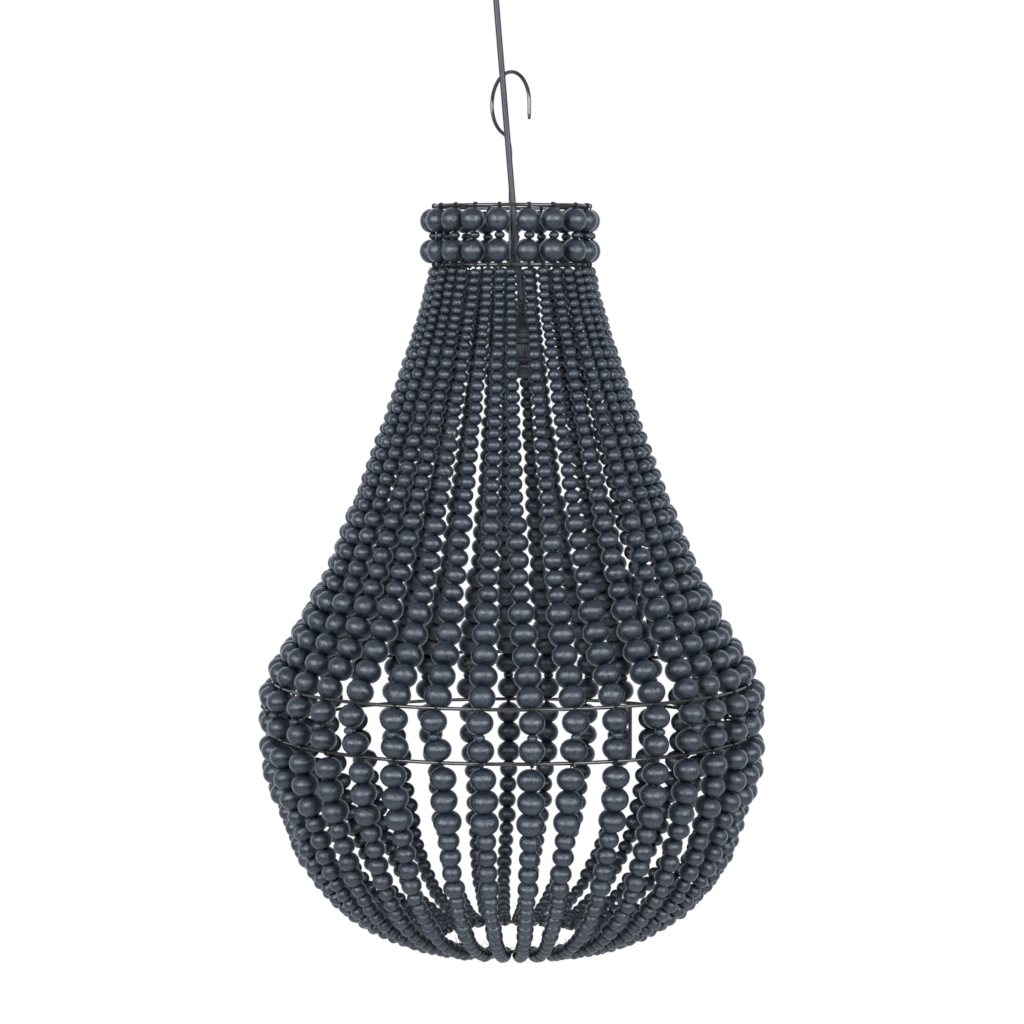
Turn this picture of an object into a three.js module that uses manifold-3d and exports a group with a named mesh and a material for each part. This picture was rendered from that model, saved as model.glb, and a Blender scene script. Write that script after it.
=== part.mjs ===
// Beaded chandelier, in millimetres, +Z up, seen from -Y with +X to the right.
//
// A cord comes down from a ceiling cup and grips a lamp holder. A wire carrier on the holder bears a
// beaded collar. Thirty-six bead strings hang from the collar, bear two wide hoops and meet at a small
// mouth ring below. The strings are the only thing between the collar and the hoops, so their line
// bends in as a loaded string does. A loose wire hook stands in the collar and leans on the cord.
//
// The origin is on the ceiling, in the middle of the mounting plate's top face.

import * as THREE from 'three';
import { mergeVertices } from 'three/addons/utils/BufferGeometryUtils.js';
import Module from 'manifold-3d';

const wasm = await Module();
wasm.setup();

// Clearances
const seatGap = 0.3; // between pieces that touch on the real object
const bushGap = 0.4; // round the cord bush, which tips in its seat
const overrun = 1; // how far a cutting body runs past the wall that it cuts

// Ceiling cup, its seat for the cord bush, and the plate that holds it
const cupRadius = 45;
const cupHeight = 38;
const cupWall = 1.6;
const cupEdgeRadius = 9;
const seatHeight = 8;
const seatWall = 4;
const plateWidth = 20;
const plateThickness = 2;
const earDrop = 14;
const slotLength = 13;
const slotWidth = 4.6;
const slotPlace = 24;
const screwDepth = 8;
const screwRadius = 1.6;
const screwReach = 3; // past the plate's ear
const screwHeadRadius = 3.3;
const screwHeadHeight = 1.9;
const terminalWidth = 22;
const terminalDepth = 15;
const terminalHeight = 13;
const terminalBore = 2;
const terminalChamfer = 1.5;

// Cord and the rounded bush that it hangs through
const cordRadius = 3;
const cordDrop = 310; // from the bush's centre down to the lamp holder's grip
const cordLean = THREE.MathUtils.degToRad(4.75);
const cordTail = 9; // above the bush's centre, inside the cup
const bushRadius = 9.5;
const bushHalfHeight = 6.3;
const swingLimit = THREE.MathUtils.degToRad(20);

// Lamp holder
const holderDrop = 35; // from the collar's lower ring down to the top of the cord grip
const holderShift = 5.5; // the holder hangs this far beside the shade's axis
const cordShift = 3.4; // and the cord enters its grip this far beside the holder's axis
const gripRadius = 6.9;
const gripHeight = 7;
const gripChamfer = 1.2;
const holderWall = 2.2;
const capHeight = 30;
const capRadius = 19.5;
const capHole = 3.6;
const bodyHeight = 39.7;
const bodyShoulder = 5;
const threadRadius = 18.9;
const flangeRadius = 21.8;
const flangeHeight = 3;
const skirtRadius = 20.6;
const skirtHeight = 10;
const shadeRingRadius = 23.4;
const shadeRingNeckRadius = 21.2;
const shadeRingNeckHeight = 4.2;
const shadeRingChamfer = 1;
const contactBlockHeight = 8;
const contactLedge = 1.4;
const shellRadius = 14.2; // outside of the lamp's screw shell
const shellWall = 0.8;
const shellLength = 19.5;
const tongueWidth = 6;
const tongueLength = 8;
const tongueDrop = 3;
const tongueThickness = 0.7;

// Wire frame
const wireRadius = 1.75;
const collarStrutRadius = 1.2;
const armRadius = 1.5;
const collarRadius = 77;
const collarHeight = 58;
const bellyRadius = 238;
const bandHeight = 50.7;
const mouthRadius = 74;
const mouthShift = 3.5; // of the mouth ring off the axis, to the right
const longDrop = 413; // from the collar's lower ring down to the upper hoop
const basketDrop = 208.5; // from the lower hoop down to the mouth ring
const strutCount = 4;
const bellyStrutTurn = THREE.MathUtils.degToRad(27.6);
const armTurn = THREE.MathUtils.degToRad(15);
const armClearance = 1; // between a carrier arm and the beads beside it
const armBend = 16; // radius in which an arm turns up

// Hanging hook and the bar across the collar's lower ring that carries it
const hookWireRadius = 1.9;
const hookRadius = 31.5;
const hookRise = 160; // from the bar up to the middle of the hook's bow
const hookShift = -1.5; // beside the shade's axis
const hookTurn = THREE.MathUtils.degToRad(54); // about its stem
const hookTail = 16.8; // straight end of the bow
const hookNeck = 24; // height over which the stem swings out into the bow
const hookBowStart = THREE.MathUtils.degToRad(246); // where the bow begins, counted from its tail's side
const hookCordGap = 0.5;

// Bead strings
const stringCount = 36;
const collarStringCount = 18;
const stringTurn = THREE.MathUtils.degToRad(3);
const collarStringTurn = THREE.MathUtils.degToRad(10);
const collarStringRadius = 78;
const collarBeadWidth = 23.8;
const collarBeadHeight = 23;
const spacerWidth = 10.4;
const spacerPush = 5.5; // how far the spacers between the hoops are squeezed out of their strings' line
const bandRadius = 240;
const knotWidth = 3.2; // where a string leaves a bead for its loop round a wire
const knotReach = 5; // from a hoop's wire to that point
const loopWidth = 2.4; // of the string itself where it passes a hoop
const loopReach = 5.2; // from a hoop's wire in to the string

// Bead sizes: width across the string and height along it
const tinyBeadWidth = 11.2;
const tinyBeadHeight = 8.1;
const smallBeadWidth = 14.1;
const smallBeadHeight = 11.4;
const mediumBeadWidth = 16;
const mediumBeadHeight = 13.2;
const largeBeadWidth = 20;
const largeBeadHeight = 17;
const greatBeadWidth = 25.8;
const greatBeadHeight = 21.6;

// Runs of beads of one size, from the collar down to the upper hoop
const longRuns = [
  { count: 10, width: tinyBeadWidth, height: tinyBeadHeight },
  { count: 8, width: smallBeadWidth, height: smallBeadHeight },
  { count: 6, width: mediumBeadWidth, height: mediumBeadHeight },
  { count: 5, width: largeBeadWidth, height: largeBeadHeight },
  { count: 5, width: greatBeadWidth, height: greatBeadHeight },
];

// Basket, from the lower hoop down to the mouth ring: single great beads, then plain runs
const basketGap = 4.2; // bare string between the lower hoop's middle and the first bead
const basketBeadCount = 3;
const basketWaistWidth = 13;
const basketRuns = [
  { count: 4, width: largeBeadWidth, height: largeBeadHeight },
  { count: 5, width: mediumBeadWidth, height: mediumBeadHeight },
];
const mouthBeadWidth = 12;

// The line of a long string: shares of its drop, and of its way out from collar to hoop
const longFallShares = [0, 0.12, 0.3, 0.5, 0.68, 0.82, 0.93, 1];
const longReachShares = [0, 0.073, 0.218, 0.393, 0.567, 0.72, 0.88, 1];
// The line of a basket string: shares of its drop, and of its way in from the hoop to the mouth
const basketFallShares = [0, 0.1, 0.25, 0.39, 0.53, 0.68, 0.8, 0.898, 0.971, 1.004, 1];
const basketReachShares = [1, 1.021, 0.97, 0.91, 0.853, 0.756, 0.622, 0.47, 0.28, 0.134, 0];
// Places of the collar's uprights, between its short strings, as shares of a full turn
const uprightTurnShares = [0.229, 0.3445, 0.629, 0.7917];
// How far each short string of the collar hangs from its even place, as shares of the even spacing
const shortStrayShares = [
  0.12, 0.07, 0.18, 0.12, 0.125, 0.15, 0.25, 0.365, 0.39,
  0.42, 0.325, 0.325, 0.25, 0.225, 0.275, 0.23, 0.12, 0.06,
];
// How far each long string hangs from its even place, as shares of the even spacing, at the collar
const collarStrayShares = [
  -0.38, 0.02, -0.05, 0, 0.05, 0.02, -0.04, 0.03, -0.03, 0.05, 0, 0.04,
  -0.04, 0.03, -0.05, 0.02, 0.05, -0.02, 0.04, -0.05, 0.03, 0, 0.05, -0.03,
  0.02, -0.05, 0.04, 0, -0.03, 0.04, -0.02, -0.06, -0.12, -0.16, -0.18, -0.25,
];
// between the hoops
const bellyStrayShares = [
  0.14, 0.1, 0.07, 0.14, 0.2, 0.05, 0.1, 0.12, 0, -0.05, 0.06, -0.04,
  0.05, 0, -0.2, -0.05, -0.27, -0.22, -0.21, -0.19, -0.06, -0.17, -0.16, -0.13,
  -0.05, 0, -0.04, 0.05, -0.15, -0.3, -0.1, -0.15, -0.15, -0.02, -0.02, 0,
];
// at the top of the basket
const basketStrayShares = [
  0.17, 0.07, 0.1, 0.07, 0.12, 0.05, 0.1, 0.12, 0, -0.05, 0.06, -0.04,
  0.05, 0, 0.02, 0.12, -0.22, -0.21, -0.21, -0.21, -0.32, -0.44, -0.4, -0.25,
  -0.1, 0, -0.04, 0.05, -0.15, -0.2, 0, 0.12, 0, 0, 0.12, 0,
];
// and at the mouth
const mouthStrayShares = [
  0.05, 0.3, 0.64, 0.62, 0.6, 0.6, 0.6, 0.6, 0.6, 0.6, 0.6, 0.6,
  0.6, 0.6, 0.6, 0.6, 0.55, 0.55, 0.48, 0.45, 0.42, 0.34, 0.26, 0.19,
  0.11, 0.03, -0.04, -0.12, -0.2, -0.27, -0.35, -0.43, -0.5, -0.58, -0.66, -0.16,
];
// Heights at which a carrier arm is held off the beads, as shares of its rise
const armHeightShares = [0.72, 0.5, 0.28, 0.08];

// Facets
const wireSides = 4;
const armSides = 4;
const armSteps = 12;
const hookSides = 5;
const hookSteps = 32;
const cordSides = 8;
const cordSteps = 18;
const hoopSteps = 56;
const ringSteps = 32;
const holderSteps = 18;
const cupSteps = 20;
const bushSteps = 14;
const smallSteps = 12;
const edgeSteps = 2;
const seatSteps = 3;
const bushArcSteps = 4;
const bowSteps = 10;

const finishes = {
  bead: { color: 0x32373d, roughness: 0.55, metalness: 0 },
  wire: { color: 0x17181a, roughness: 0.3, metalness: 0.6 },
  cord: { color: 0x1f2023, roughness: 0.6, metalness: 0 },
  plastic: { color: 0x1a1b1d, roughness: 0.5, metalness: 0 },
  ceramic: { color: 0xe6e2d8, roughness: 0.4, metalness: 0 },
  brass: { color: 0xb9a063, roughness: 0.35, metalness: 1 },
  steel: { color: 0xa9acb0, roughness: 0.4, metalness: 1 },
};

// Levels and places that follow from the sizes above
const pivotZ = -(cupHeight - seatHeight / 2);
const gripTopZ = pivotZ - cordDrop;
const collarZ = gripTopZ + holderDrop;
const shadeX = cordDrop * Math.tan(cordLean) - holderShift - cordShift;
const upperHoopZ = -longDrop;
const lowerHoopZ = upperHoopZ - bandHeight;
const mouthZ = lowerHoopZ - basketDrop;
const wireClear = wireRadius + seatGap;
const capTopZ = -(gripHeight + seatGap);
const bodyTopZ = capTopZ - capHeight - seatGap;
const bodyEndZ = bodyTopZ - bodyHeight;
const flangeTopZ = bodyEndZ + skirtHeight + flangeHeight;
const carrierWireZ = flangeTopZ + seatGap + armRadius;
const carrierRingRadius = threadRadius + seatGap * 2 + armRadius;

/** Direction of an azimuth that is counted from the viewer's side (-Y) towards +X. */
function heading(azimuth) {
  return new THREE.Vector3(Math.sin(azimuth), -Math.cos(azimuth), 0);
}

/** A point at a radius, an azimuth and a height about the group's own axis. */
function around(radius, azimuth, z) {
  const point = heading(azimuth).multiplyScalar(radius);
  point.z = z;
  return point;
}

/** Geometry with positions alone and its shared corners merged. */
function welded(geometry) {
  const bare = geometry.clone();
  bare.deleteAttribute('normal');
  bare.deleteAttribute('uv');
  return mergeVertices(bare);
}

/** The same shape as a solid that can be joined and cut. */
function solidOf(geometry) {
  const bare = welded(geometry);
  const mesh = new wasm.Mesh({
    numProp: 3,
    vertProperties: Float32Array.from(bare.attributes.position.array),
    triVerts: Uint32Array.from(bare.index.array),
  });
  return new wasm.Manifold(mesh);
}

/** A solid turned back into geometry. */
function geometryOf(solid) {
  const mesh = solid.getMesh();
  const geometry = new THREE.BufferGeometry();
  geometry.setAttribute('position', new THREE.BufferAttribute(mesh.vertProperties, 3));
  geometry.setIndex(new THREE.BufferAttribute(mesh.triVerts, 1));
  return geometry;
}

/** All the shapes joined into one. */
function joined(geometries) {
  return geometryOf(geometries.map(solidOf).reduce((whole, piece) => whole.add(piece)));
}

/** A shape with other shapes cut out of it. */
function cutBy(geometry, cutters) {
  return geometryOf(cutters.map(solidOf).reduce((whole, cutter) => whole.subtract(cutter), solidOf(geometry)));
}

/** A mesh of a piece in its own material. */
function piece(name, geometry, finish) {
  geometry.computeVertexNormals();
  const mesh = new THREE.Mesh(geometry, new THREE.MeshStandardMaterial(finishes[finish]));
  mesh.name = name;
  return mesh;
}

/** A group at a place that holds the given pieces. */
function groupAt(x, y, z, pieces) {
  const group = new THREE.Group();
  group.position.set(x, y, z);
  group.add(...pieces);
  return group;
}

/** A closed profile of [radius, height] pairs, drawn either way round, turned about the Z axis. */
function turned(profile, steps) {
  const points = profile.map(([radius, z]) => new THREE.Vector2(radius, z));
  const drawn = THREE.ShapeUtils.isClockWise(points) ? points.reverse() : points;
  return new THREE.LatheGeometry([...drawn, drawn[0]], steps).rotateX(Math.PI / 2);
}

/** Points [radius, height] of an arc about a centre, between two angles. */
function arc(centreRadius, centreZ, radius, from, to, steps) {
  return Array.from({ length: steps + 1 }, (_, i) => {
    const angle = THREE.MathUtils.lerp(from, to, i / steps);
    return [centreRadius + radius * Math.cos(angle), centreZ + radius * Math.sin(angle)];
  });
}

/** Round wire along a curve. */
function wireAlong(curve, radius, sides, steps) {
  const outline = Array.from({ length: sides }, (_, i) => {
    const angle = (2 * Math.PI * i) / sides;
    return new THREE.Vector2(radius * Math.cos(angle), radius * Math.sin(angle));
  });
  return new THREE.ExtrudeGeometry(new THREE.Shape(outline), { steps, extrudePath: curve, bevelEnabled: false });
}

/** Straight round wire between two points. */
function straightWire(from, to, radius, sides) {
  return wireAlong(new THREE.LineCurve3(from, to), radius, sides, 1);
}

/** A level ring of wire. */
function ringOf(radius, z, steps) {
  return new THREE.TorusGeometry(radius, wireRadius, wireSides, steps).translate(0, 0, z);
}

/** Four-sided body through sections, each with a centre, an outward direction, a side direction and a width. */
function loft(sections) {
  const positions = [];
  for (const { centre, out, side, width } of sections) {
    for (const [direction, sign] of [[out, 1], [side, 1], [out, -1], [side, -1]]) {
      positions.push(...centre.clone().addScaledVector(direction, (sign * width) / 2).toArray());
    }
  }
  const faces = [0, 1, 2, 0, 2, 3];
  for (let row = 0; row < sections.length - 1; row += 1) {
    for (let k = 0; k < 4; k += 1) {
      const a = row * 4 + k;
      const b = row * 4 + ((k + 1) % 4);
      faces.push(a, a + 4, b, b, a + 4, b + 4);
    }
  }
  const last = (sections.length - 1) * 4;
  faces.push(last, last + 2, last + 1, last, last + 3, last + 2);
  const geometry = new THREE.BufferGeometry();
  geometry.setAttribute('position', new THREE.Float32BufferAttribute(positions, 3));
  geometry.setIndex(faces);
  return geometry;
}

/** Plate with down-turned ears, two fixing slots and a screw hole in each ear. */
function ceilingPlate() {
  const reach = plateReach();
  const bar = new THREE.BoxGeometry(2 * reach, plateWidth, plateThickness).translate(0, 0, -plateThickness / 2);
  const ears = [-1, 1].map((sign) => new THREE.BoxGeometry(plateThickness, plateWidth, earDrop)
    .translate(sign * (reach - plateThickness / 2), 0, -earDrop / 2));
  const slots = [-1, 1].map((sign) => slotCutter().translate(sign * slotPlace, 0, overrun));
  const holes = [-1, 1].map((sign) => straightWire(
    new THREE.Vector3(sign * (reach - plateThickness - overrun), 0, -screwDepth),
    new THREE.Vector3(sign * (reach + overrun), 0, -screwDepth),
    screwRadius + seatGap,
    smallSteps,
  ));
  return cutBy(joined([bar, ...ears]), [...slots, ...holes]);
}

/** Half the plate's length: its corners just clear the flats of the cup's wall. */
function plateReach() {
  const flat = (cupRadius - cupWall) * Math.cos(Math.PI / cupSteps);
  return Math.sqrt(flat ** 2 - (plateWidth / 2) ** 2) - seatGap;
}

/** Body that cuts one slot with round ends, standing under its own origin. */
function slotCutter() {
  const outline = new THREE.Shape();
  const half = (slotLength - slotWidth) / 2;
  outline.absarc(half, 0, slotWidth / 2, -Math.PI / 2, Math.PI / 2, false);
  outline.absarc(-half, 0, slotWidth / 2, Math.PI / 2, (3 * Math.PI) / 2, false);
  const depth = plateThickness + 2 * overrun;
  return new THREE.ExtrudeGeometry(outline, { depth, bevelEnabled: false, curveSegments: 4 }).translate(0, 0, -depth);
}

/** Ceiling cup: a shell open at the top, with a round seat for the bush in its floor. */
function ceilingCup() {
  const floor = -cupHeight;
  const seatBore = bushRadius + bushGap;
  const seatAngle = Math.asin(seatHeight / 2 / seatBore);
  const seatOuter = seatBore + seatWall;
  const inner = cupRadius - cupWall;
  const shell = turned([
    [cupRadius, 0],
    ...arc(cupRadius - cupEdgeRadius, floor + cupEdgeRadius, cupEdgeRadius, 0, -Math.PI / 2, edgeSteps),
    ...arc(0, pivotZ, seatBore, -seatAngle, seatAngle, seatSteps),
    [seatOuter, floor + seatHeight],
    [seatOuter, floor + cupWall],
    ...arc(cupRadius - cupEdgeRadius, floor + cupEdgeRadius, cupEdgeRadius - cupWall, -Math.PI / 2, 0, edgeSteps),
    [inner, 0],
  ], cupSteps);
  const holes = [-1, 1].map((sign) => straightWire(
    new THREE.Vector3(sign * (inner - overrun), 0, -screwDepth),
    new THREE.Vector3(sign * (cupRadius + overrun), 0, -screwDepth),
    screwRadius + seatGap,
    smallSteps,
  ));
  return cutBy(shell, holes);
}

/** Side screw on the +X side, with its head outside the cup. */
function cupScrew() {
  const head = cupRadius + seatGap;
  const tip = plateReach() - plateThickness - screwReach;
  return turned([
    [0, 0],
    [screwRadius, 0],
    [screwRadius, head - tip],
    [screwHeadRadius, head - tip],
    [screwHeadRadius * 0.8, head - tip + screwHeadHeight],
    [0, head - tip + screwHeadHeight],
  ], smallSteps).rotateY(Math.PI / 2).translate(tip, 0, -screwDepth);
}

/** Block under the plate in which the mains leads meet the cord's cores. */
function terminalBlock() {
  const half = terminalWidth / 2;
  const outline = new THREE.Shape([
    [-half, -terminalHeight],
    [half, -terminalHeight],
    [half, -terminalChamfer],
    [half - terminalChamfer, 0],
    [terminalChamfer - half, 0],
    [-half, -terminalChamfer],
  ].map(([x, z]) => new THREE.Vector2(x, z)));
  for (const sign of [-1, 1]) {
    const bore = new THREE.Path();
    bore.absarc((sign * half) / 2, -terminalHeight / 2, terminalBore, 0, 2 * Math.PI, true);
    outline.holes.push(bore);
  }
  return new THREE.ExtrudeGeometry(outline, { depth: terminalDepth, bevelEnabled: false, curveSegments: 8 })
    .translate(0, 0, -terminalDepth / 2)
    .rotateX(Math.PI / 2)
    .translate(0, 0, -(plateThickness + seatGap));
}

/** Rounded bush with a bore that opens both ways, so that the cord can swing in it. */
function cordBush() {
  const endAngle = Math.asin(bushHalfHeight / bushRadius);
  const waist = cordRadius / Math.cos(swingLimit) + seatGap;
  const mouth = waist + bushHalfHeight * Math.tan(swingLimit);
  return turned([
    ...arc(0, 0, bushRadius, -endAngle, endAngle, bushArcSteps),
    [mouth, bushHalfHeight],
    [waist, 0],
    [mouth, -bushHalfHeight],
  ], bushSteps);
}

/** The cord's line, from its end in the cup down to the top of its grip. */
function cordLine() {
  const down = new THREE.Vector3(Math.sin(cordLean), 0, -Math.cos(cordLean));
  const endRise = seatGap + cordRadius * Math.sin(cordLean);
  const length = (cordDrop - endRise) / Math.cos(cordLean);
  return new THREE.LineCurve3(down.clone().multiplyScalar(-cordTail), down.clone().multiplyScalar(length));
}

/** Ceiling cup, plate, screws and terminal block. */
function ceilingPieces() {
  return [
    piece('ceiling_plate', ceilingPlate(), 'steel'),
    piece('ceiling_cup', ceilingCup(), 'plastic'),
    piece('terminal_block', terminalBlock(), 'ceramic'),
    piece('cup_screw_right', cupScrew(), 'steel'),
    piece('cup_screw_left', cupScrew().rotateZ(Math.PI), 'steel'),
  ];
}

/** The cord and its bush, about the point where the cord swings. */
function cordPieces() {
  return [
    piece('cord_bush', cordBush(), 'plastic'),
    piece('pendant_cord', wireAlong(cordLine(), cordRadius, cordSides, cordSteps), 'cord'),
  ];
}

/** Bell-shaped cap over the terminals. */
function holderCap() {
  const outside = [
    [gripRadius, 0],
    [0.43 * capRadius, -0.2 * capHeight],
    [0.67 * capRadius, -0.43 * capHeight],
    [0.87 * capRadius, -0.57 * capHeight],
    [0.98 * capRadius, -0.73 * capHeight],
    [capRadius, -capHeight],
  ];
  const inside = outside.slice(2).map(([radius, z]) => [radius - holderWall, z]).reverse();
  inside[0] = [capRadius - holderWall, -capHeight];
  return turned([...outside, ...inside, [capHole, -holderWall], [capHole, 0]], holderSteps).translate(0, 0, capTopZ);
}

/** Grip that clamps the cord on top of the cap. */
function cordGrip() {
  return turned([
    [0, 0],
    [gripRadius - gripChamfer, 0],
    [gripRadius, -gripChamfer],
    [gripRadius, -gripHeight],
    [0, -gripHeight],
  ], smallSteps);
}

/** Holder body: threaded sleeve, clamping flange and skirt, open below, with a ledge for the contacts. */
function holderBody() {
  const inner = threadRadius - holderWall + seatGap;
  const ledgeZ = bodyTopZ - contactBlockHeight - 2 * seatGap;
  return turned([
    [capRadius, bodyTopZ],
    [capRadius, bodyTopZ - bodyShoulder],
    [threadRadius, bodyTopZ - bodyShoulder],
    [threadRadius, flangeTopZ],
    [flangeRadius, flangeTopZ],
    [flangeRadius, flangeTopZ - flangeHeight],
    [skirtRadius, flangeTopZ - flangeHeight],
    [skirtRadius, bodyEndZ],
    [inner, bodyEndZ],
    [inner, ledgeZ - contactLedge],
    [inner - contactLedge, ledgeZ - contactLedge],
    [inner - contactLedge, ledgeZ],
    [inner, ledgeZ],
    [inner, bodyTopZ],
  ], holderSteps);
}

/** Ring that screws down on the sleeve and clamps the wire carrier. */
function shadeRing() {
  const top = bodyTopZ - bodyShoulder - seatGap;
  const end = carrierWireZ + armRadius + seatGap;
  const bore = threadRadius + seatGap;
  return turned([
    [bore, top],
    [shadeRingRadius - shadeRingChamfer, top],
    [shadeRingRadius, top - shadeRingChamfer],
    [shadeRingRadius, end + shadeRingNeckHeight],
    [shadeRingNeckRadius, end + shadeRingNeckHeight],
    [shadeRingNeckRadius, end],
    [bore, end],
  ], holderSteps);
}

/** Insulating block that carries the contacts. */
function contactBlock() {
  const radius = threadRadius - holderWall;
  const top = bodyTopZ - seatGap;
  return turned([
    [0, top],
    [radius, top],
    [radius, top - contactBlockHeight],
    [0, top - contactBlockHeight],
  ], holderSteps);
}

/** Thin sleeve that takes the lamp's screw cap. */
function screwShell() {
  const top = bodyTopZ - contactBlockHeight - 2 * seatGap;
  return turned([
    [shellRadius, top],
    [shellRadius, top - shellLength],
    [shellRadius - shellWall, top - shellLength],
    [shellRadius - shellWall, top],
  ], holderSteps);
}

/** Sprung tongue that meets the lamp's centre contact. */
function centreContact() {
  const half = tongueLength / 2;
  const outline = new THREE.Shape([
    [-half, 0],
    [0, 0],
    [half, tongueThickness - tongueDrop],
    [half, -tongueDrop],
    [0, -tongueThickness],
    [-half, -tongueThickness],
  ].map(([x, z]) => new THREE.Vector2(x, z)));
  return new THREE.ExtrudeGeometry(outline, { depth: tongueWidth, bevelEnabled: false })
    .translate(0, 0, -tongueWidth / 2)
    .rotateX(Math.PI / 2)
    .translate(0, 0, bodyTopZ - contactBlockHeight - 2 * seatGap);
}

/** Lamp holder, about its own axis, from the top of the cord grip down. */
function holderPieces() {
  return [
    piece('cord_grip', cordGrip(), 'plastic'),
    piece('holder_cap', holderCap(), 'plastic'),
    piece('contact_block', contactBlock(), 'ceramic'),
    piece('centre_contact', centreContact(), 'brass'),
    piece('screw_shell', screwShell(), 'brass'),
    piece('holder_body', holderBody(), 'plastic'),
    piece('shade_ring', shadeRing(), 'plastic'),
  ];
}

/** Curve of a string's centre line, as [radius, height] on a plane through the axis. */
function stringCurve(radii, levels, reachShares, fallShares) {
  return new THREE.SplineCurve(fallShares.map((fall, i) => new THREE.Vector2(
    THREE.MathUtils.lerp(radii[0], radii[1], reachShares[i]),
    THREE.MathUtils.lerp(levels[0], levels[1], fall),
  )));
}

const longCurve = stringCurve([collarRadius, bellyRadius], [-wireClear, upperHoopZ], longReachShares, longFallShares);
const basketCurve = stringCurve(
  [mouthRadius + wireClear, bellyRadius],
  [lowerHoopZ, mouthZ],
  basketReachShares,
  basketFallShares,
);

/** Station on a curve at a length from its start: place, outward direction, width and share of the way. */
function stationOn(curve, at, width) {
  const share = THREE.MathUtils.clamp(at / curve.getLength(), 0, 1);
  const place = curve.getPointAt(share);
  const along = curve.getTangentAt(share);
  return { radius: place.x, z: place.y, outRadial: -along.y, outZ: along.x, width, share };
}

/** Stations along runs of equal beads: where two runs meet, one tapers into the next or, if great, steps. */
function runStations(curve, runs, from) {
  const stations = [stationOn(curve, from + seatGap, runs[0].width)];
  let at = from;
  runs.forEach(({ count, width, height }, i) => {
    at += count * height;
    const next = runs[i + 1];
    if (!next) {
      stations.push(stationOn(curve, at - seatGap, width));
    } else if (next.width < greatBeadWidth) {
      stations.push(stationOn(curve, at, (width + next.width) / 2));
    } else {
      stations.push(stationOn(curve, at - seatGap, width), stationOn(curve, at + seatGap, next.width));
    }
  });
  return stations;
}

/** Station straight above or below another on a vertical stretch; toBasket says how far it follows the basket. */
function uprightStation(radius, z, width, share, toBasket = 0) {
  return { radius, z, outRadial: 1, outZ: 0, width, share, toBasket };
}

/** Stations of the long part, from the collar's lower ring to the upper hoop. */
function longStations() {
  const end = longCurve.getLength();
  return [...runStations(longCurve, longRuns, 0).slice(0, -1),
    stationOn(longCurve, end - knotReach - seatGap, longRuns[longRuns.length - 1].width),
    stationOn(longCurve, end - knotReach, knotWidth)];
}

/** Stations of the two large beads and the spacer between the hoops. */
function bandStations() {
  const middle = (upperHoopZ + lowerHoopZ) / 2;
  const beadRise = bandHeight / 2 - wireRadius - greatBeadHeight / 2;
  return [
    uprightStation(bellyRadius - loopReach, upperHoopZ, loopWidth, 1),
    uprightStation(bandRadius, upperHoopZ - knotReach, knotWidth, 1),
    uprightStation(bandRadius, middle + beadRise, greatBeadWidth, 1),
    uprightStation(bandRadius + spacerPush, middle, spacerWidth, 1),
    uprightStation(bandRadius, middle - beadRise, greatBeadWidth, 1),
    uprightStation(bandRadius, lowerHoopZ + knotReach, knotWidth, 1),
    uprightStation(bellyRadius - loopReach, lowerHoopZ, loopWidth, 1, 0.5),
  ];
}

/** Stations of the basket part, from the lower hoop to the mouth ring. */
function basketStations() {
  const end = basketCurve.getLength();
  const beads = Array.from({ length: basketBeadCount }, (_, i) => {
    const middle = stationOn(basketCurve, basketGap + (i + 0.5) * greatBeadHeight, greatBeadWidth);
    const waist = stationOn(basketCurve, basketGap + (i + 1) * greatBeadHeight, basketWaistWidth);
    return [middle, waist];
  }).flat().slice(0, -1);
  const runsFrom = basketGap + basketBeadCount * greatBeadHeight;
  const mouthFrom = runsFrom + basketRuns.reduce((sum, { count, height }) => sum + count * height, 0);
  const mouthRun = [0.45, 1].map((share) => stationOn(
    basketCurve,
    THREE.MathUtils.lerp(mouthFrom + seatGap, end - seatGap, share),
    mouthBeadWidth,
  ));
  return [
    stationOn(basketCurve, knotReach, knotWidth),
    ...beads,
    ...runStations(basketCurve, basketRuns, runsFrom),
    ...mouthRun,
  ];
}

const upperStations = [...longStations(), ...bandStations()];
const lowerStations = basketStations();

/** One bead string from collar to mouth, as a body whose width steps with the size of its beads. */
function beadString(index) {
  const spacing = (2 * Math.PI) / stringCount;
  const even = stringTurn + index * spacing;
  const [atCollar, atBelly, atBasket, atMouth] = [
    collarStrayShares,
    bellyStrayShares,
    basketStrayShares,
    mouthStrayShares,
  ].map((shares) => even + shares[index % shares.length] * spacing);
  const upper = upperStations.map((station) => {
    const hanging = THREE.MathUtils.lerp(atCollar, atBelly, station.share ** 2);
    return sectionOf(station, THREE.MathUtils.lerp(hanging, atBasket, station.toBasket ?? 0));
  });
  const lower = lowerStations.map((station) => {
    const section = sectionOf(station, THREE.MathUtils.lerp(atBasket, atMouth, station.share ** 2));
    section.centre.x += mouthShift * (1 - (1 - station.share) ** 2);
    return section;
  });
  return loft([...upper, ...lower]);
}

/** Section of a body at a station, on a plane of the given azimuth. */
function sectionOf({ radius, z, outRadial, outZ, width }, azimuth) {
  const out = heading(azimuth).multiplyScalar(outRadial);
  out.z = outZ;
  return { centre: around(radius, azimuth, z), out, side: heading(azimuth + Math.PI / 2), width };
}

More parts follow.
